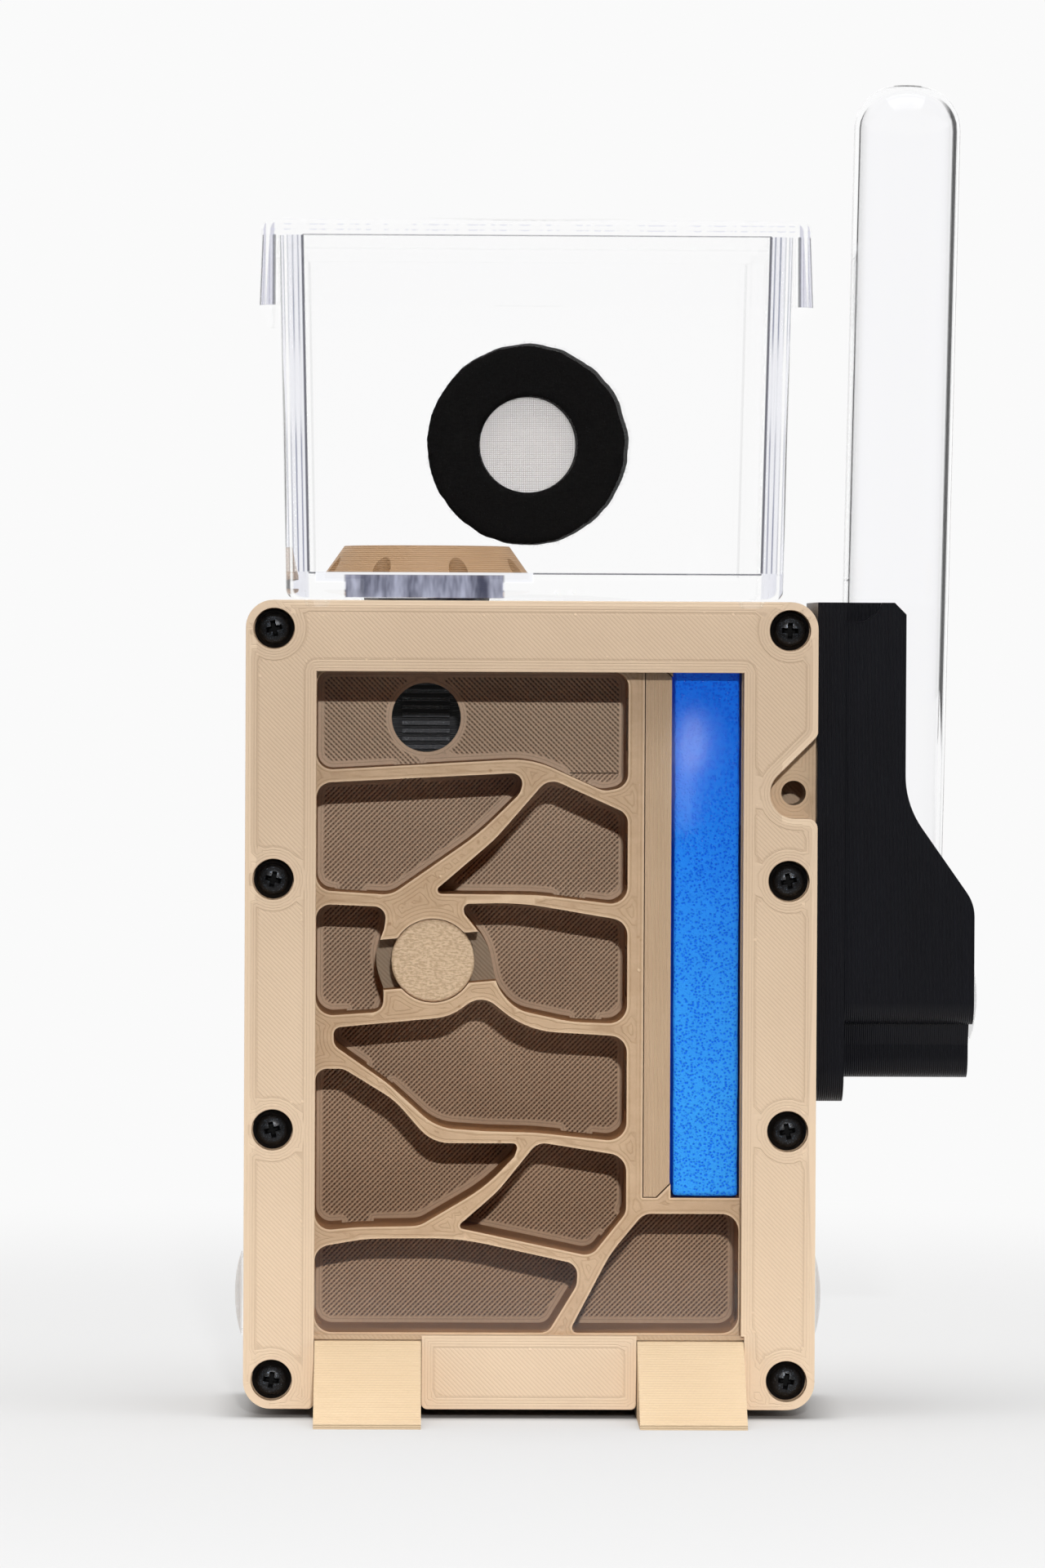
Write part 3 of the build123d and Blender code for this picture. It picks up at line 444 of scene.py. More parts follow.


# The lid: painted reflections as dark lines down its skirt and under its top plate, and painted glints
# on the plate.
def lidLooks(maker):
    place, x, y, z = maker.places()
    half = lidHigh.x - nestX
    across = half - (x - nestX).abs().math("MINIMUM", y.abs())
    reach = half - (x - nestX).abs().math("MAXIMUM", y.abs())
    entering = maker.entering()
    outer = (1 - reach.rise(0.9 * mm, 1.2 * mm)) * entering
    streaks = maker.streaks(place, [900.0, 900.0, 12.0])
    below = 1 - z.rise(boxHigh.z - 0.2 * mm, boxHigh.z)
    side = (1 - across.rise(clearBox["skirt"] - 0.1 * mm, clearBox["skirt"] + 0.1 * mm)) * outer
    reflectionLines = groove(across / clearBox["skirtPitch"] + streaks * 0.8, 0.25) * side * below
    inner = lineAt(across, clearBox["skirt"], 0.34 * mm) * outer * below
    inward = across.rise(6.4 * mm, 6.5 * mm)
    under = lineAt(z, boxHigh.z - 0.1 * mm, 0.15 * mm) * outer * inward
    plate = (1 - below) * outer
    glints = groove((z - boxHigh.z) / clearBox["linePitch"] + streaks * 0.3, 0.25)
    glints = glints * plate * streaks.rise(0.4, 0.6)
    tone = maker.mix(side, clearTone, (0.36, 0.36, 0.5, 1.0))
    tone = maker.mix(glints, tone, (0.5, 0.52, 0.72, 1.0))
    tone = maker.mix(reflectionLines * 0.8, tone, (0.25, 0.25, 0.38, 1.0))
    tone = maker.mix(inner * 0.9 + under * 0.8, tone, (0.03, 0.03, 0.04, 1.0))
    band = below * outer * (1 - side) * 0.05
    alpha = 0.06 + side * 0.6 + plate * 0.12 + reflectionLines * 0.3 + inner * 0.9 + under * 0.75
    alpha = alpha + glints * 0.4 + band
    return {"Base Color": tone, "Alpha": alpha.math("MINIMUM", 0.95)}


seeThrough = {"Transmission_Weight": 1.0, "Roughness": 0.0, "IOR": 1.3}
styrene = material("clearStyrene", boxLooks, Emission_Strength=1.0, **seeThrough)
styreneLid = material("clearStyreneLid", lidLooks, **seeThrough)
tubeGlass = material("tubeGlass", clearLooks(0.0), Transmission_Weight=1.0, IOR=1.22)
plugClear = material("plugClear", clearLooks(0.2), Transmission_Weight=1.0, IOR=1.2, Alpha=0.3)


# The flat pane: what lies behind it shows straight through, and its surface mirrors a little.
def paneLooks(maker):
    marks = maker.noise(maker.place(), 260.0, 4.0, 0.65)
    return {
        "Roughness": 0.04 + marks.rise(0.55, 0.8) * 0.02,
        "Alpha": 0.04 + marks.rise(0.6, 0.85) * 0.004,
    }


acrylic = material("clearAcrylic", paneLooks, Base_Color=white, Metallic=1.0)


# Frame screws: the sizes of one screw, and its places either side of the nest's middle.
screw = {
    "flangeRadius": 3.0 * mm,
    "flangeHeight": 0.62 * mm,
    "domeRadius": 2.4 * mm,
    "headHeight": 1.9 * mm,
    "shankRadius": 1.5 * mm,
    "length": 12.0 * mm,
    "crossSpan": 2.9 * mm,
    "crossWidth": 0.85 * mm,
    "crossDepth": 1.4 * mm,
    "recessDepth": 2.2 * mm,
    "column": 39.2 * mm,
    "pitch": 38.1 * mm,
    "turns": 48,
}
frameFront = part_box("front_frame")[0].y


# The distance to the nearest screw's axis.
def fromScrew(x, z):
    row = (z - nestMiddle) / screw["pitch"] + 0.5
    off = (row - row.math("ROUND")) * screw["pitch"]
    return (((x - nestX).abs() - screw["column"]) ** 2.0 + off ** 2.0).math("SQRT")


# Black steel: pitted, with painted bluish glints on the domes, and painted shade, black, down in the
# driver crosses.
def steelLooks(maker):
    place, x, y, z = maker.places()
    grain = maker.noise(place, 3500.0, 3.0, 0.7)
    radius = fromScrew(x, z)
    # Painted glints on the domes.
    specksAndGlints = maker.noise(place, 5200.0, 3.0, 0.7).rise(0.56, 0.68)
    specksAndGlints = specksAndGlints * (1 - radius.rise(1.9 * mm, 2.3 * mm))
    # Painted shade: black down in the driver crosses.
    cross = (1 - radius.rise(1.6 * mm, 1.7 * mm)) * y.rise(frameFront + 0.5 * mm, frameFront + 0.75 * mm)
    tone = maker.mix(grain, colour(16, 16, 17), colour(42, 41, 42))
    tone = maker.mix(specksAndGlints, tone, colour(96, 106, 118))
    return {
        "Base Color": maker.mix(cross, tone, colour(2, 2, 2)),
        "Roughness": 0.22 + grain * 0.2 + cross * 0.4,
        "Normal": maker.bump(grain * 0.02 * mm),
    }


blackSteel = material("blackSteel", steelLooks, Metallic=0.6)


def spongeLooks(maker):
    place = maker.place()
    pores = maker.cells(place, 2200.0)
    fine = maker.cells(place, 4600.0)
    holes = pores.rise(0.15, 0.55)
    patches = maker.noise(place, 130.0, 3.0)
    z = maker.split(place)[2]
    # Painted shadow: the foam is darker towards its top, under the frame's top lip.
    top = z.rise(nestZ + 45 * mm, nestZ + 118 * mm)
    low = maker.mix(top, colour(4, 108, 255), colour(0, 88, 228))
    high = maker.mix(top, colour(62, 176, 255), colour(0, 126, 252))
    shade = holes * 0.8 + fine * 0.35 + (patches - 0.5) * 0.4
    return {
        "Base Color": maker.mix(shade, low, high),
        "Normal": maker.bump(holes * 0.12 * mm + fine * 0.06 * mm),
    }


# The emission is a painted glow: the foam gives off faint blue light though it is no lamp.
spongeFinish = {
    "Roughness": 0.85,
    "Specular_IOR_Level": 0.2,
    "Emission_Color": (0.0, 0.012, 0.15, 1.0),  # light that the foam lets through
    "Emission_Strength": 1.0,
}
spongeFoam = material("spongeFoam", spongeLooks, **spongeFinish)


def feltLooks(maker):
    place = maker.place()
    fibres = maker.streaks(place, [1500.0, 1500.0, 5200.0], 4.0, 0.75)
    crossed = maker.streaks(place, [5200.0, 1500.0, 1500.0], 4.0, 0.75)
    specksAndGlints = maker.cells(place, 900.0).rise(0.1, 0.04)
    shade = fibres * crossed + specksAndGlints * 0.25
    return {
        "Base Color": maker.mix(shade, colour(4, 4, 4), colour(46, 45, 45)),
        "Normal": maker.bump((fibres + crossed) * 0.2 * mm),
    }


blackFelt = material("blackFelt", feltLooks, Roughness=0.95, Specular_IOR_Level=0.05)


def wireLooks(maker):
    grain = maker.noise(maker.place(), 6000.0)
    return {"Base Color": maker.mix(grain, colour(196, 190, 188), colour(228, 222, 219))}


meshWire = material("meshWire", wireLooks, Roughness=0.5, Metallic=0.3)

finishes = {
    "nest_body": tanPrint,
    "nest_back": tanPrint,
    "fill_block": tanPrintBlock,
    "front_frame": tanPrintFrame,
    "sponge_grate": tanPrintGrate,
    "gate_knob": tanPrintKnob,
    "ring_nut": tanPrintNut,
    "left_foot": tanPrintFeet,
    "right_foot": tanPrintFeet,
    "entrance_elbow": blackPrintUpright,
    "tube_holder": blackPrint,
    "window_pane": acrylic,
    "outworld_box": styrene,
    "outworld_lid": styreneLid,
    "test_tube": tubeGlass,
    "left_port_plug": plugClear,
    "right_port_plug": plugClear,
    "tower_port_plug": plugClear,
    "frame_screws": blackSteel,
    "hydration_sponge": spongeFoam,
    "vent_ring": blackFelt,
    "vent_mesh": meshWire,
}
for name, finish in finishes.items():
    paint(nodes[name], finish)
# Lamp light passes the clear pieces, so that what is behind them stays lit.
for name in ("window_pane", "outworld_box", "outworld_lid", "test_tube"):
    nodes[name].visible_shadow = False
print("materials made")


skinLift = 0.03 * mm


# Skins on the printed faces seen from the front. Each is cut from its nodes' own faces at one depth,
# and carries the distance to its nearest edge, which the printed lines follow. Faces of two nodes that
# lie on each other cancel out, which leaves the chambers' floor.
def faceSkin(name, sources, depth, cell, finish, limits):
    low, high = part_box(limits)
    points = []
    edges = []
    for source in sources:
        mesh = bmesh.new()
        mesh.from_mesh(nodes[source].data)
        bmesh.ops.remove_doubles(mesh, verts=mesh.verts, dist=0.002 * mm)
        others = [
            face for face in mesh.faces
            if abs(face.normal.y) < 0.99
            or any(abs(vertex.co.y - depth) > 0.01 * mm for vertex in face.verts)
        ]
        bmesh.ops.delete(mesh, geom=others, context="FACES")
        index = {}
        for edge in mesh.edges:
            middle = (edge.verts[0].co + edge.verts[1].co) / 2
            within = low.x <= middle.x <= high.x and low.z <= middle.z <= high.z
            if len(edge.link_faces) != 1 or not within:
                continue
            pair = []
            for vertex in edge.verts:
                if vertex not in index:
                    index[vertex] = len(points)
                    points.append(Vector((vertex.co.x, vertex.co.z)))
                pair.append(index[vertex])
            edges.append(tuple(pair))
        mesh.free()
    starts = np.array([points[a][:] for a, b in edges])
    ends = np.array([points[b][:] for a, b in edges])

    def nearest(where):
        found = np.full(len(where), 1e9)
        run = ends - starts
        length = (run ** 2).sum(1) + 1e-18
        for first in range(0, len(where), 2000):
            part = where[first:first + 2000]
            share = (((part[:, None] - starts) * run).sum(2) / length).clip(0, 1)
            gap = part[:, None] - (starts + share[..., None] * run)
            found[first:first + 2000] = np.sqrt((gap ** 2).sum(2)).min(1)
        return found

    def inside(where):
        hits = np.zeros(len(where), bool)
        for (x1, z1), (x2, z2) in zip(starts, ends):
            if z1 == z2:
                continue
            crosses = (z1 > where[:, 1]) != (z2 > where[:, 1])
            hits ^= crosses & (where[:, 0] < (x2 - x1) * (where[:, 1] - z1) / (z2 - z1) + x1)
        return hits

    low, high = starts.min(0), starts.max(0)
    grid = np.array([
        (x, z)
        for x in np.arange(low[0] + cell / 2, high[0], cell)
        for z in np.arange(low[1] + cell / 2, high[1], cell)
    ])
    grid = grid[inside(grid)]
    grid = grid[nearest(grid) > cell * 0.4]
    allPoints = points + [Vector(place) for place in grid.tolist()]
    flat, flatEdges, triangles, *rest = delaunay_2d_cdt(allPoints, edges, [], 0, 1e-7)
    corners = np.array([place[:] for place in flat])
    centres = np.array([corners[list(triangle)].mean(0) for triangle in triangles])
    kept = [triangle for triangle, keep in zip(triangles, inside(centres)) if keep]
    piece = meshObject(name, [(x, depth - skinLift, z) for x, z in corners.tolist()], kept)
    for face in piece.data.polygons:
        if face.normal.y > 0:
            face.flip()
    piece.data.update()
    distance = piece.data.attributes.new("edgeDistance", "FLOAT", "POINT")
    distance.data.foreach_set("value", nearest(corners) / mm)
    paint(piece, finish)
    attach(piece, "nest")
    print(name, len(kept), "faces")


# Millimetres to the skin's nearest edge.
def edgeDistance(maker):
    return maker.add("ShaderNodeAttribute", {"attribute_name": "edgeDistance"}).out("Fac")


# Wall tops: beads laid side by side along the walls, a painted highlight along their edges, and painted
# light on the ground of the frame's notch.
def wallTopLooks(maker):
    place, x, y, z = maker.places()
    distance = edgeDistance(maker)
    grain = maker.noise(place, 2400.0, 3.0, 0.6)
    patches = maker.noise(place, 90.0, 3.0, 0.55)
    smears = maker.streaks(place, [220.0, 1.0, 480.0], 3.0, 0.6)
    lines = groove(distance / 0.55 + patches * 0.3, 0.26)
    # Painted highlight where the wall tops' edges catch the light.
    lipHighlight = 1 - distance.rise(0.12, 0.3)
    scuffs = maker.cells(place, 420.0).rise(0.16, 0.05) * patches.rise(0.5, 0.62)
    blobs = maker.cells(place, 260.0).rise(0.1, 0.03) * patches.rise(0.5, 0.45)
    shade = 0.5 + (patches - 0.5) * 0.5 + (smears - 0.5) * 0.5 + (grain - 0.5) * 0.25
    shade = shade - lines * 0.2 - scuffs * 0.6
    # Painted light: the notch's ground, right of the window, is made lighter.
    notchLight = (x - nestX).rise(35.0 * mm, 35.2 * mm)
    shade = shade + lipHighlight * 0.45 * (1 - notchLight) + blobs * 0.8 + notchLight * 0.5
    height = (1 - lines) * 0.035 + grain * 0.02 + smears * 0.03 - scuffs * 0.06 + blobs * 0.1
    return {
        "Base Color": maker.mix(shade, colour(183, 147, 111), colour(236, 205, 169)),
        "Roughness": 0.42 + grain * 0.2,
        "Normal": maker.bump(height * mm),
    }


# Chamber floors: a smooth border, then crossed beads with gaps that go dark where two layers' gaps meet.
# The top chamber's beads run down to the right, and the others' up to the right.
def floorLooks(maker):
    place, x, y, z = maker.places()
    distance = edgeDistance(maker)
    grain = maker.noise(place, 2400.0, 3.0, 0.6)
    patches = maker.noise(place, 60.0, 3.0, 0.55)
    pitch = 0.56 * math.sqrt(2) * mm
    falling = (x + z) / pitch
    rising = (x - z) / pitch
    top = z.rise(nestZ + 96.4 * mm, nestZ + 96.6 * mm)
    upper = groove(maker.mixValue(top, rising, falling), 0.42)
    lower = groove(maker.mixValue(top, falling, rising), 0.3)
    inner = distance.rise(0.85, 1.1)
    ring = groove(distance / 0.55, 0.2) * (1 - inner) * 0.2
    gaps = upper * inner
    holes = upper * lower * inner
    # Painted light: the floors are lighter and paler towards the top of the nest.
    upwardLight = z.rise(nestZ + 10 * mm, nestZ + 110 * mm)
    bead = maker.mix(upwardLight, colour(226, 190, 156), colour(236, 207, 178))
    shade = 0.68 + upwardLight * 0.19 + inner * 0.08 + (patches - 0.5) * 0.3 + (grain - 0.5) * 0.2
    shade = shade - gaps * 0.42 - holes * 0.45 - ring
    height = (grain * 0.02 - gaps * 0.14 - holes * 0.1 - ring * 0.1) * mm
    return {
        "Base Color": maker.mix(shade, colour(80, 48, 29), bead),
        "Roughness": 0.5 + grain * 0.2,
        "Normal": maker.bump(height),
    }


# The frame's face: beads along its edges, a fine raster between them.
def frameLooks(maker):
    place, x, y, z = maker.places()
    distance = edgeDistance(maker)
    grain = maker.noise(place, 2400.0, 3.0, 0.6)
    patches = maker.noise(place, 45.0, 3.0, 0.55)
    wander = maker.noise(place, 30.0)
    inner = distance.rise(1.75, 1.95)
    beads = groove(distance / 0.44, 0.2) * (1 - inner)
    raster = groove((x + z) / (0.5 * math.sqrt(2) * mm) + wander * 0.6, 0.35) * inner
    seam = 1 - (distance - 1.85).abs().rise(0.08, 0.26)
    blobs = maker.cells(place, 700.0).rise(0.22, 0.08)
    spots = blobs * (1 - (distance - 2.0).abs().rise(0.25, 0.6)) * patches.rise(0.45, 0.55)
    # Painted light: the face is lighter towards its bottom, where the table's bounce falls.
    lift = 0.96 - z.rise(nestZ - 20 * mm, nestZ + 123 * mm) * 0.32
    radius = fromScrew(x, z)
    # The frame's outer edges catch light as a painted highlight, and the edges of the screws' holes
    # don't.
    sides = (x - nestX).abs().rise(38.0 * mm, 38.2 * mm)
    margin = sides.math("MAXIMUM", z.rise(nestZ + 116 * mm, nestZ + 116.2 * mm))
    rim = (1 - distance.rise(0.6, 1.1)) * margin * (radius / mm - 3.15 - distance).abs().rise(0.03, 0.1)
    shade = lift + (patches - 0.5) * 0.3 + (grain - 0.5) * 0.2 + rim * 0.5
    shade = shade - beads * 0.2 - raster * 0.14 - seam * 0.14 + spots * 0.4
    height = grain * 0.015 - beads * 0.03 - raster * 0.018 - seam * 0.03 + spots * 0.05
    return {
        "Base Color": maker.mix(shade, colour(192, 162, 132), colour(240, 213, 182)),
        "Roughness": 0.4 + grain * 0.2,
        "Normal": maker.bump(height * mm),
    }


wallTopFinish = material("wallTopPrint", wallTopLooks, Specular_IOR_Level=0.35)
floorFinish = material("chamberFloorPrint", floorLooks, Specular_IOR_Level=0.3)
frameFinish = material("frameFacePrint", frameLooks, Specular_IOR_Level=0.35)
floorNodes = ["nest_body", "nest_back", "fill_block"]
faceSkin("wallTops", ["nest_body", "fill_block"], bodyLow.y, 0.9 * mm, wallTopFinish, "nest_body")
faceSkin("chamberFloors", floorNodes, bodyHigh.y, 0.9 * mm, floorFinish, "window_pane")
faceSkin("frameFace", ["front_frame"], frameFront, 1.2 * mm, frameFinish, "front_frame")


# A small builder for shape trees with named inputs, whose result becomes a plain mesh.
class GeometryTree:
    def __init__(self, name, inputs):
        self.tree = bpy.data.node_groups.new(name, "GeometryNodeTree")
        face = self.tree.interface
        face.new_socket("Geometry", in_out="INPUT", socket_type="NodeSocketGeometry")
        face.new_socket("Geometry", in_out="OUTPUT", socket_type="NodeSocketGeometry")
        kinds = {float: "NodeSocketFloat", int: "NodeSocketInt"}
        self.sockets = {}
        for label, value in inputs.items():
            socket = face.new_socket(label, in_out="INPUT", socket_type=kinds[type(value)])
            self.sockets[label] = (socket.identifier, value)
        self.start = self.tree.nodes.new("NodeGroupInput")
        self.end = self.tree.nodes.new("NodeGroupOutput")
        self.maker = Maker(self.tree)

    def input(self, label):
        return Value(self.maker, self.start, self.start.outputs[label])

    def add(self, kind, settings=None, values=None):
        return self.maker.add(kind, settings, values)

    def source(self, piece):
        settings = {"transform_space": "ORIGINAL"}
        return self.add("GeometryNodeObjectInfo", settings, {"Object": piece}).out("Geometry")

    def random(self, low, high):
        values = {2: low, 3: high, "Seed": self.input("Seed")}
        return self.add("FunctionNodeRandomValue", {"data_type": "FLOAT"}, values).out(1)

    # Realizes the instances, sets the material, and turns the result into the object's own mesh.
    def bake(self, result, piece, finish):
        real = self.add("GeometryNodeRealizeInstances", {}, {0: result})
        done = self.add("GeometryNodeSetMaterial", {}, {"Geometry": real, "Material": finish})
        self.tree.links.new(done.socket, self.end.inputs[0])
        modifier = piece.modifiers.new("shape", "NODES")
        modifier.node_group = self.tree
        for identifier, value in self.sockets.values():
            modifier[identifier] = value
        bpy.context.view_layer.update()
        graph = bpy.context.evaluated_depsgraph_get()
        mesh = bpy.data.meshes.new_from_object(piece.evaluated_get(graph))
        piece.modifiers.clear()
        piece.data = mesh
        mesh.name = piece.name


# A closed profile of (radius, height) turned about Y, heights towards the viewer.
def turned(name, profile, turns):
    vertices = []
    faces = []
    rings = []
    for radius, height in profile:
        if radius < 1e-7:
            rings.append([len(vertices)])
            vertices.append((0, -height, 0))
            continue
        rings.append(list(range(len(vertices), len(vertices) + turns)))
        for step in range(turns):
            angle = math.tau * step / turns
            vertices.append((radius * math.cos(angle), -height, radius * math.sin(angle)))
    for low, high in zip(rings, rings[1:]):
        for step in range(turns):
            after = (step + 1) % turns
            corners = [low[step % len(low)], low[after % len(low)]]
            corners += [high[after % len(high)], high[step % len(high)]]
            faces.append(list(dict.fromkeys(corners)))
    piece = meshObject(name, vertices, faces)
    faceOutward(piece)
    return piece


def smoothByAngle(piece, degrees):
    mesh = bmesh.new()
    mesh.from_mesh(piece.data)
    for face in mesh.faces:
        face.smooth = True
    for edge in mesh.edges:
        edge.smooth = len(edge.link_faces) == 2 and edge.calc_face_angle(0) < math.radians(degrees)
    mesh.to_mesh(piece.data)
    mesh.free()


# One turned head and shank with a driver cross, repeated at the eight places.
def makeScrews():
    bulge = screw["headHeight"] - screw["flangeHeight"]
    dome = [
        (screw["domeRadius"] * math.cos(angle) ** 0.6, screw["flangeHeight"] + bulge * math.sin(angle))
        for angle in [math.radians(step) for step in (4, 18, 32, 46, 60, 74, 84)]
    ]
    profile = [
        (0, -screw["length"]), (screw["shankRadius"] * 0.7, -screw["length"]),
        (screw["shankRadius"], -screw["length"] + 0.5 * mm), (screw["shankRadius"], 0),
        (screw["flangeRadius"] - 0.1 * mm, 0), (screw["flangeRadius"], 0.1 * mm),
        (screw["flangeRadius"] - 0.05 * mm, screw["flangeHeight"] - 0.3 * mm),
        (screw["domeRadius"] + 0.05 * mm, screw["flangeHeight"] - 0.02 * mm),
        *dome, (0, screw["headHeight"]),
    ]
    head = turned("screwMaster", profile, screw["turns"])
    cutters = bmesh.new()
    for turn in (0, math.pi / 2):
        made = bmesh.ops.create_cube(cutters, size=1.0)["verts"]
        for vertex in made:
            deep = vertex.co.y > 0
            span = screw["crossSpan"] * (0.55 if deep else 1.0)
            width = screw["crossWidth"] * (0.7 if deep else 1.0)
            height = screw["headHeight"] + (-screw["crossDepth"] if deep else 0.5 * mm)
            place = Vector((vertex.co.x * span, -height, vertex.co.z * width))
            vertex.co = Matrix.Rotation(turn, 3, "Y") @ place
    cutter = meshObject("crossCutter", [], [])
    cutters.to_mesh(cutter.data)
    cutters.free()
    cut = head.modifiers.new("cross", "BOOLEAN")
    cut.object = cutter
    cut.operation = "DIFFERENCE"
    cut.solver = "EXACT"
    cut.use_self = True
    bpy.context.view_layer.update()
    graph = bpy.context.evaluated_depsgraph_get()
    head.data = bpy.data.meshes.new_from_object(head.evaluated_get(graph))
    head.modifiers.clear()
    bpy.data.objects.remove(cutter)
    smoothByAngle(head, 35)
    seat = frameFront + screw["recessDepth"]
    places = [
        (nestX + side * screw["column"], seat, nestMiddle + screw["pitch"] * (row - 1.5))
        for side in (-1, 1)
        for row in range(4)
    ]
    screws = meshObject("frameScrews", places, [])
    tree = GeometryTree("screwRows", {"Turn": 0.35, "Seed": 4})
    swing = tree.random(-tree.input("Turn"), tree.input("Turn"))
    turn = tree.add("ShaderNodeCombineXYZ", {}, {"Y": swing})
    placed = tree.add("GeometryNodeInstanceOnPoints", {}, {
        "Points": tree.input("Geometry"), "Instance": tree.source(head), "Rotation": turn,
    })
    tree.bake(placed, screws, blackSteel)
    bpy.data.objects.remove(head)
    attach(screws, "nest")
    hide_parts("frame_screws")
    print("frameScrews made")


# Sponge: a cut block of open-cell foam with soft edges and torn pores.
sponge = {"cell": 0.42 * mm, "round": 0.5 * mm, "pore": 0.13 * mm, "swell": 0.12 * mm}


def makeSponge():
    low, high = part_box("hydration_sponge")
    low = low + Vector((sponge["swell"],) * 3)
    high = high - Vector((sponge["swell"],) * 3)
    size = high - low
    steps = [round(length / sponge["cell"]) for length in size]
    mesh = bmesh.new()
    known = {}

    def corner(spot):
        if spot not in known:
            place = [low[axis] + size[axis] * spot[axis] / steps[axis] for axis in range(3)]
            known[spot] = mesh.verts.new(place)
        return known[spot]

    for axis in range(3):
        first, second = [other for other in range(3) if other != axis]
        for level in (0, steps[axis]):
            for i in range(steps[first]):
                for j in range(steps[second]):
                    spots = []
                    for di, dj in ((0, 0), (1, 0), (1, 1), (0, 1)):
                        spot = [0, 0, 0]
                        spot[axis] = level
                        spot[first] = i + di
                        spot[second] = j + dj
                        spots.append(corner(tuple(spot)))
                    mesh.faces.new(spots)
    bmesh.ops.recalc_face_normals(mesh, faces=mesh.faces)
    inner = [(low[axis] + sponge["round"], high[axis] - sponge["round"]) for axis in range(3)]
    for vertex in mesh.verts:
        core = Vector([min(max(vertex.co[axis], inner[axis][0]), inner[axis][1]) for axis in range(3)])
        outward = vertex.co - core
        if outward.length > 1e-9:
            away = outward.normalized()
            vertex.co = core + away * sponge["round"]
        else:
            away = vertex.normal
        cells = noise.voronoi(vertex.co * 2400)[0][0]
        lumps = noise.noise(vertex.co * 160)
        pit = max(0.0, 0.35 - cells) * 2 * sponge["pore"]
        vertex.co = vertex.co + away * (lumps * sponge["swell"] - pit)
    piece = meshObject("sponge", [], [])
    mesh.to_mesh(piece.data)
    mesh.free()
    smoothFaces(piece.data)
    paint(piece, spongeFoam)
    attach(piece, "nest")
    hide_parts("hydration_sponge")
    print("sponge made")


# Vent: a die-cut felt ring with an uneven edge and loose fibres, over a woven wire disc.
vent = {
    "outer": 16.1 * mm,
    "inner": 7.6 * mm,
    "thickness": 1.6 * mm,
    "meshRadius": 12.9 * mm,
    "pitch": 0.3 * mm,
    "wire": 0.07 * mm,
    "turns": 260,
    "rings": 12,
    "rounding": 0.5 * mm,
}


# The vent's plane, from the felt ring's own box: its middle, and the lean of the box's back wall.
def ventFrame():
    low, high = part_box("vent_ring")
    across = high.z - low.z
    lean = math.asin(min(1.0, (high.y - low.y - vent["thickness"]) / across)) * 0.97
    middle = Vector(((low.x + high.x) / 2, (low.y + high.y) / 2, (low.z + high.z) / 2))
    turn = Matrix.Rotation(-lean, 4, "X")
    return Matrix.Translation(middle) @ turn


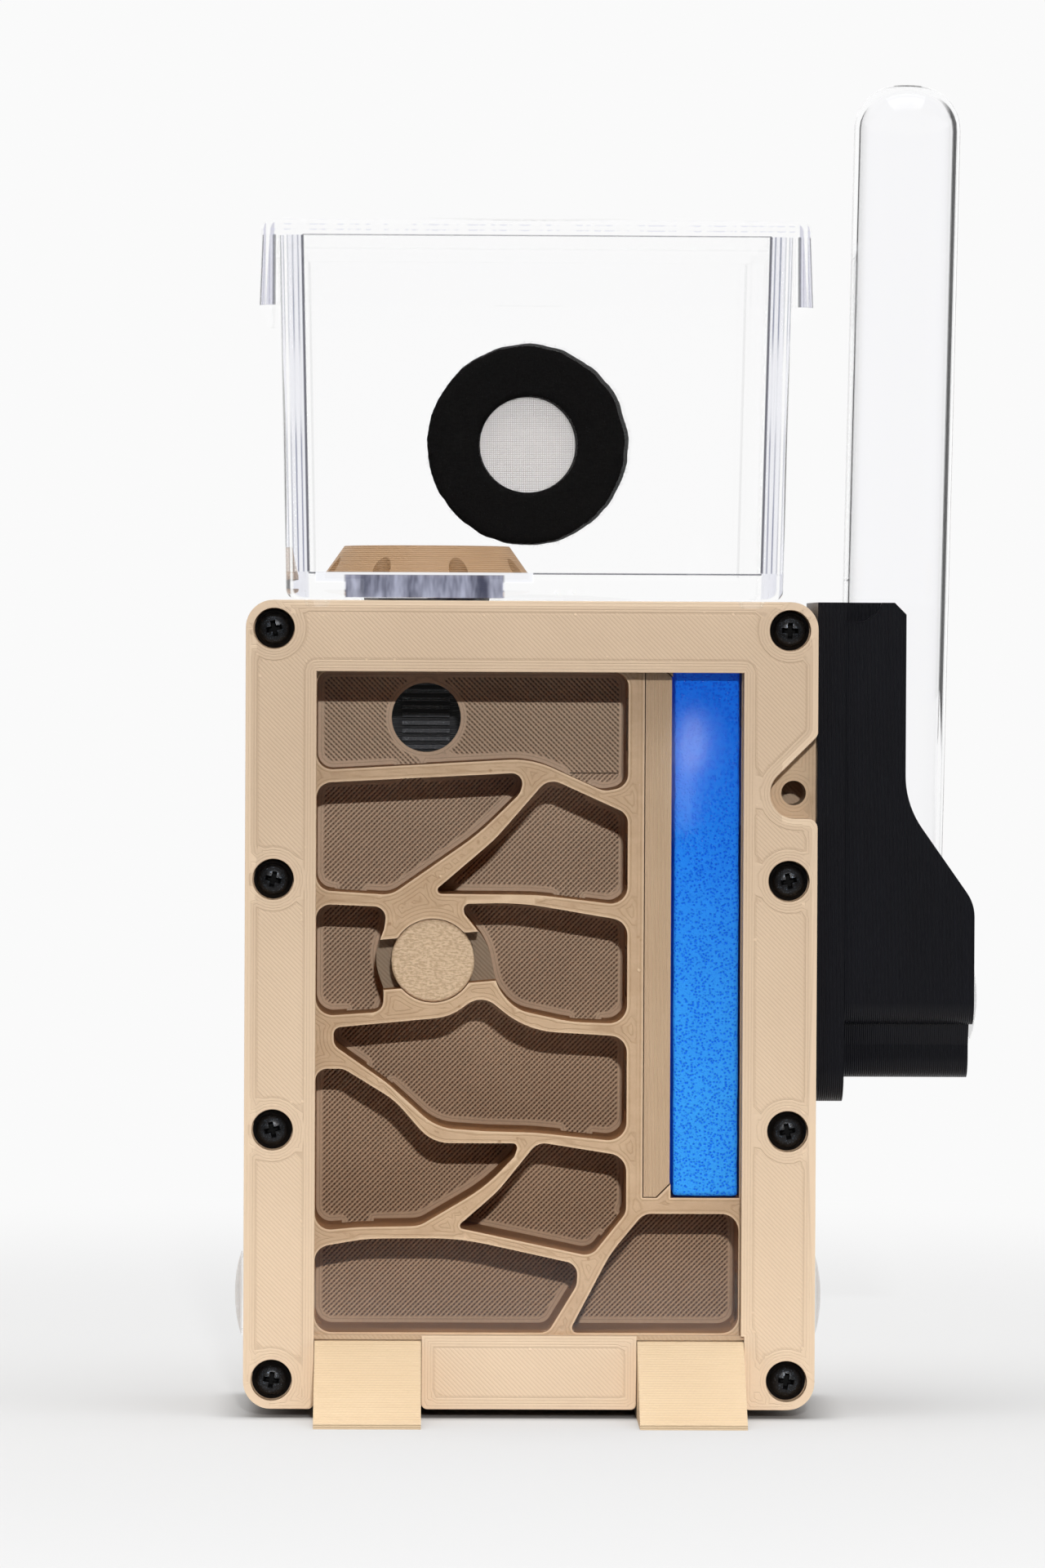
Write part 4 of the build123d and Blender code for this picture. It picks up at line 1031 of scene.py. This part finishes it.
def makeVent():
    place = ventFrame()
    turns = vent["turns"]
    half = vent["thickness"] / 2
    profile = []
    for ring in range(vent["rings"] + 1):
        share = ring / vent["rings"]
        edge = min(share, 1 - share) * (vent["outer"] - vent["inner"])
        drop = max(0.0, vent["rounding"] - edge) ** 2 / (2 * vent["rounding"])
        profile.append((share, -half + drop))
    profile += [(share, half) for share, depth in reversed(profile)]
    vertices = []
    for step in range(turns):
        angle = math.tau * step / turns
        spot = Vector((math.cos(angle), math.sin(angle), 0))
        uneven = noise.noise(spot * 5.5) * 0.22 + noise.noise(spot * 26) * 0.07 - 0.15
        outer = vent["outer"] + uneven * mm
        inner = vent["inner"] + noise.noise(spot * 30 + Vector((3, 0, 0))) * 0.06 * mm
        for share, depth in profile:
            radius = inner + (outer - inner) * share
            local = Vector((radius * math.cos(angle), depth, radius * math.sin(angle)))
            ruffle = noise.noise(local * 1400) * 0.05 * mm + noise.noise(local * 400) * 0.06 * mm
            if depth < 0:
                local.y += abs(ruffle)
            vertices.append(place @ local)
    count = len(profile)
    faces = [
        (step * count + spot, step * count + (spot + 1) % count,
         (step + 1) % turns * count + (spot + 1) % count, (step + 1) % turns * count + spot)
        for step in range(turns)
        for spot in range(count)
    ]
    felt = meshObject("feltRing", vertices, faces)
    smoothFaces(felt.data)
    faceOutward(felt, 1e-7)
    paint(felt, blackFelt)

    # Loose fibres all over the felt, standing out at its edges.
    thread = [
        (0.0, 0.0, 0.0), (0.02, 0.0, 0.0), (0.01, 0.017, 0.0),
        (0.04, 0.05, 0.5), (0.06, 0.05, 0.5), (0.05, 0.065, 0.5), (0.16, 0.1, 0.9),
    ]
    threadFaces = [(0, 1, 4, 3), (1, 2, 5, 4), (2, 0, 3, 5), (3, 4, 6), (4, 5, 6), (5, 3, 6), (0, 2, 1)]
    fibre = meshObject("fibreMaster", [(x * mm, y * mm, z * mm) for x, y, z in thread], threadFaces)
    fuzz = addObject("feltFibres", felt.data.copy())
    tree = GeometryTree("feltFuzz", {"Density": 900000.0, "Seed": 7, "Smallest": 0.35, "Largest": 1.0})
    scattered = tree.add("GeometryNodeDistributePointsOnFaces", {}, {
        "Mesh": tree.input("Geometry"), "Density": tree.input("Density"), "Seed": tree.input("Seed"),
    })
    lean = tree.add("FunctionNodeRandomValue", {"data_type": "FLOAT_VECTOR"}, {
        0: (-1.1, -1.1, 0.0), 1: (1.1, 1.1, math.tau), "Seed": tree.input("Seed"),
    })
    leaning = tree.add("FunctionNodeRotateEuler", {"space": "LOCAL"}, {
        "Rotation": scattered.out("Rotation"), "Rotate By": lean,
    })
    placed = tree.add("GeometryNodeInstanceOnPoints", {}, {
        "Points": scattered.out("Points"), "Instance": tree.source(fibre), "Rotation": leaning,
        "Scale": tree.random(tree.input("Smallest"), tree.input("Largest")),
    })
    tree.bake(placed, fuzz, blackFelt)
    bpy.data.objects.remove(fibre)
    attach(felt, "nest")
    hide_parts("vent_ring")
    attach(fuzz, "nest")

    # Woven wires: one grid of crossings for each direction, raised and lowered in turn.
    weave = meshObject("ventWeave", [(0, 0, 0)], [])
    tree = GeometryTree("wireWeave", {
        "Radius": vent["meshRadius"], "Pitch": vent["pitch"], "Wire": vent["wire"],
    })
    count = int(2 * vent["meshRadius"] / vent["pitch"]) + 1
    span = (count - 1) * vent["pitch"]
    joined = []
    for direction in (0, 1):
        grid = tree.add("GeometryNodeMeshGrid", {}, {
            "Size X": span, "Size Y": span, "Vertices X": count, "Vertices Y": count,
        }).out("Mesh")
        spot = tree.add("GeometryNodeInputPosition")
        x, y, z = tree.maker.split(spot)
        radius = (x * x + y * y) ** 0.5
        outside = tree.add("FunctionNodeCompare", {"data_type": "FLOAT", "operation": "GREATER_THAN"}, {
            0: radius, 1: tree.input("Radius"),
        })
        chosen = {"Geometry": grid, "Selection": outside}
        grid = tree.add("GeometryNodeDeleteGeometry", {"domain": "POINT"}, chosen)
        ends = tree.add("GeometryNodeInputMeshEdgeVertices")
        spots = {0: ends.out("Position 1"), 1: ends.out("Position 2")}
        run = tree.add("ShaderNodeVectorMath", {"operation": "SUBTRACT"}, spots)
        along = tree.maker.split(run)[direction].abs()
        cross = tree.add("FunctionNodeCompare", {"data_type": "FLOAT", "operation": "LESS_THAN"}, {
            0: along, 1: tree.input("Pitch") * 0.5,
        })
        chosen = {"Geometry": grid, "Selection": cross}
        grid = tree.add("GeometryNodeDeleteGeometry", {"domain": "EDGE", "mode": "EDGE_FACE"}, chosen)
        waves = ((x + y) / tree.input("Pitch") * math.pi + (direction * math.pi)).math("COSINE")
        lift = tree.add("ShaderNodeCombineXYZ", {}, {"Z": waves * tree.input("Wire") * 0.9})
        grid = tree.add("GeometryNodeSetPosition", {}, {"Geometry": grid, "Offset": lift})
        curve = tree.add("GeometryNodeMeshToCurve", {}, {"Mesh": grid})
        section = {"Resolution": 5, "Radius": tree.input("Wire")}
        ring = tree.add("GeometryNodeCurvePrimitiveCircle", {}, section)
        joined.append(tree.add("GeometryNodeCurveToMesh", {}, {"Curve": curve, "Profile Curve": ring}))
    join = tree.tree.nodes.new("GeometryNodeJoinGeometry")
    for part in joined:
        tree.tree.links.new(part.socket, join.inputs[0])
    tree.bake(Value(tree.maker, join, join.outputs[0]), weave, meshWire)
    behind = Matrix.Translation((0, half + 0.15 * mm, 0))
    weave.data.transform(place @ behind @ Matrix.Rotation(math.pi / 2, 4, "X"))
    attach(weave, "nest")
    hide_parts("vent_mesh")
    print("vent made", len(weave.data.polygons), len(fuzz.data.polygons))


makeScrews()
makeSponge()
makeVent()


# Stage: a pale floor and white surroundings. paperWhite is the surroundings' brightness to the camera.
paperWhite = 0.957


def makeStage():
    half = 4.0
    corners = [(-half, -half, 0), (half, -half, 0), (half, half, 0), (-half, half, 0)]
    floor = meshObject("floor", corners, [(0, 1, 2, 3)])

    # White to the camera, to reflections and through glass. Near the object it takes its shadow; right
    # under the object its white glow is left out, so that the shadow there is partly real and partly
    # painted.
    def looks(maker):
        x, y, z = maker.split(maker.place())
        rays = maker.add("ShaderNodeLightPath")
        mirrored = rays.out("Is Glossy Ray") * y.rise(-0.2, 0.0) + rays.out("Is Transmission Ray")
        seen = (rays.out("Is Camera Ray") + mirrored).math("MINIMUM", 1.0)
        under = (1 - (x - nestX).abs().rise(0.040, 0.050)) * (1 - y.abs().rise(0.014, 0.022))
        far = ((x - nestX) ** 2.0 + y ** 2.0).math("SQRT").rise(0.12, 0.4)
        shown = seen * (far * paperWhite + (1 - far) * (1 - under) * 0.3)
        return {
            "Base Color": maker.mix(far, (0.4, 0.4, 0.4, 1.0), unlit),
            "Emission Color": maker.mix(shown, unlit, white),
        }

    paper = {"Roughness": 0.9, "Specular_IOR_Level": 0.0, "Emission_Strength": 1.0}
    paint(floor, material("floorPaper", looks, **paper))

    # Diffuse light comes from the sides, the top and behind, and little from the front. Clear pieces see
    # white behind, lamps at the front's sides, and dark between them.
    world = bpy.data.worlds.new("surroundings")
    bpy.context.scene.world = world
    world.use_nodes = True
    maker = Maker(world.node_tree)
    rays = maker.add("ShaderNodeLightPath")
    x, y, z = maker.split(maker.add("ShaderNodeTexCoord").out("Generated"))
    front = (-y).rise(0.35, 0.6)
    back = y.rise(-0.1, 0.2)
    spread = 1.5 * (1 - front) * (1 - back * 0.5)
    backdrop = y.rise(0.25, 0.5)
    overhead = z.rise(0.25, 0.6)
    sideways = x.rise(0.34, 0.46) + (-x).rise(0.44, 0.54)
    sideways = sideways * y.rise(-0.3, -0.1) * (1 - x.abs().rise(0.88, 0.96))
    mirrored = 0.6 + backdrop * 0.6 - (-y).rise(0.4, 0.8) * 0.55
    through = 0.66 + backdrop * 0.3 - sideways * (1 - overhead) * 0.95
    through = through.math("MAXIMUM", 0.03)
    strength = maker.mixValue(rays.out("Is Glossy Ray"), spread, mirrored)
    strength = maker.mixValue(rays.out("Is Transmission Ray"), strength, through)
    strength = maker.mixValue(rays.out("Is Camera Ray"), strength, paperWhite)
    tint = rays.out("Is Transmission Ray") * (1 - backdrop)
    background = world.node_tree.nodes["Background"]
    paleBlue = maker.mix(tint, white, colour(226, 228, 255))
    maker.tree.links.new(paleBlue.socket, background.inputs["Color"])
    maker.tree.links.new(strength.socket, background.inputs["Strength"])


def areaLight(name, place, target, size, power, shape="RECTANGLE"):
    data = bpy.data.lights.new(name, "AREA")
    data.shape = shape
    data.size, data.size_y = size
    data.energy = power
    lamp = addObject(name, data)
    lamp.location = place
    lamp.rotation_euler = (Vector(target) - Vector(place)).to_track_quat("-Z", "Y").to_euler()


def makeCamera():
    data = bpy.data.cameras.new("camera")
    data.sensor_fit = "VERTICAL"
    data.sensor_height = 36.0
    data.sensor_width = 36.0
    data.lens = 160.0
    data.clip_start, data.clip_end = 0.05, 50.0
    camera = addObject("camera", data)
    place = Vector((nestX - 19.3 * mm, -1075 * mm, nestZ + 118 * mm))
    target = Vector((nestX - 1.4 * mm, -17 * mm, nestZ + 95.2 * mm))
    turn = (target - place).to_track_quat("-Z", "Y").to_matrix()
    roll = Matrix.Rotation(math.radians(0.27), 3, "Z")
    camera.matrix_world = Matrix.Translation(place) @ (turn @ roll).to_4x4()
    bpy.context.scene.camera = camera


makeStage()
makeCamera()
# The key points down before the object, so that its edge lights the bottom more than the top.
keyX = nestX + 55 * mm
areaLight("keyLight", (keyX, -1.5, 0.46), (keyX, -1.5, -1.0), (50 * mm, 50 * mm), 41.0)
areaLight("topLight", (nestX, -0.2, 1.3), (nestX, 0, 90 * mm), (1.2, 1.0), 10.0)
# Two faint lamps that the pane mirrors over the sponge.
glint = (12.5 * mm, -15 * mm, 100 * mm)
areaLight("paneGlint", (74.0 * mm, -1.5, 80 * mm), glint, (9 * mm, 22 * mm), 0.0014, "ELLIPSE")
areaLight("paneGlintTail", (71.2 * mm, -1.5, 64 * mm), glint, (5 * mm, 34 * mm), 0.0008, "ELLIPSE")
bpy.context.scene.view_settings.view_transform = "Standard"
print("stage made")
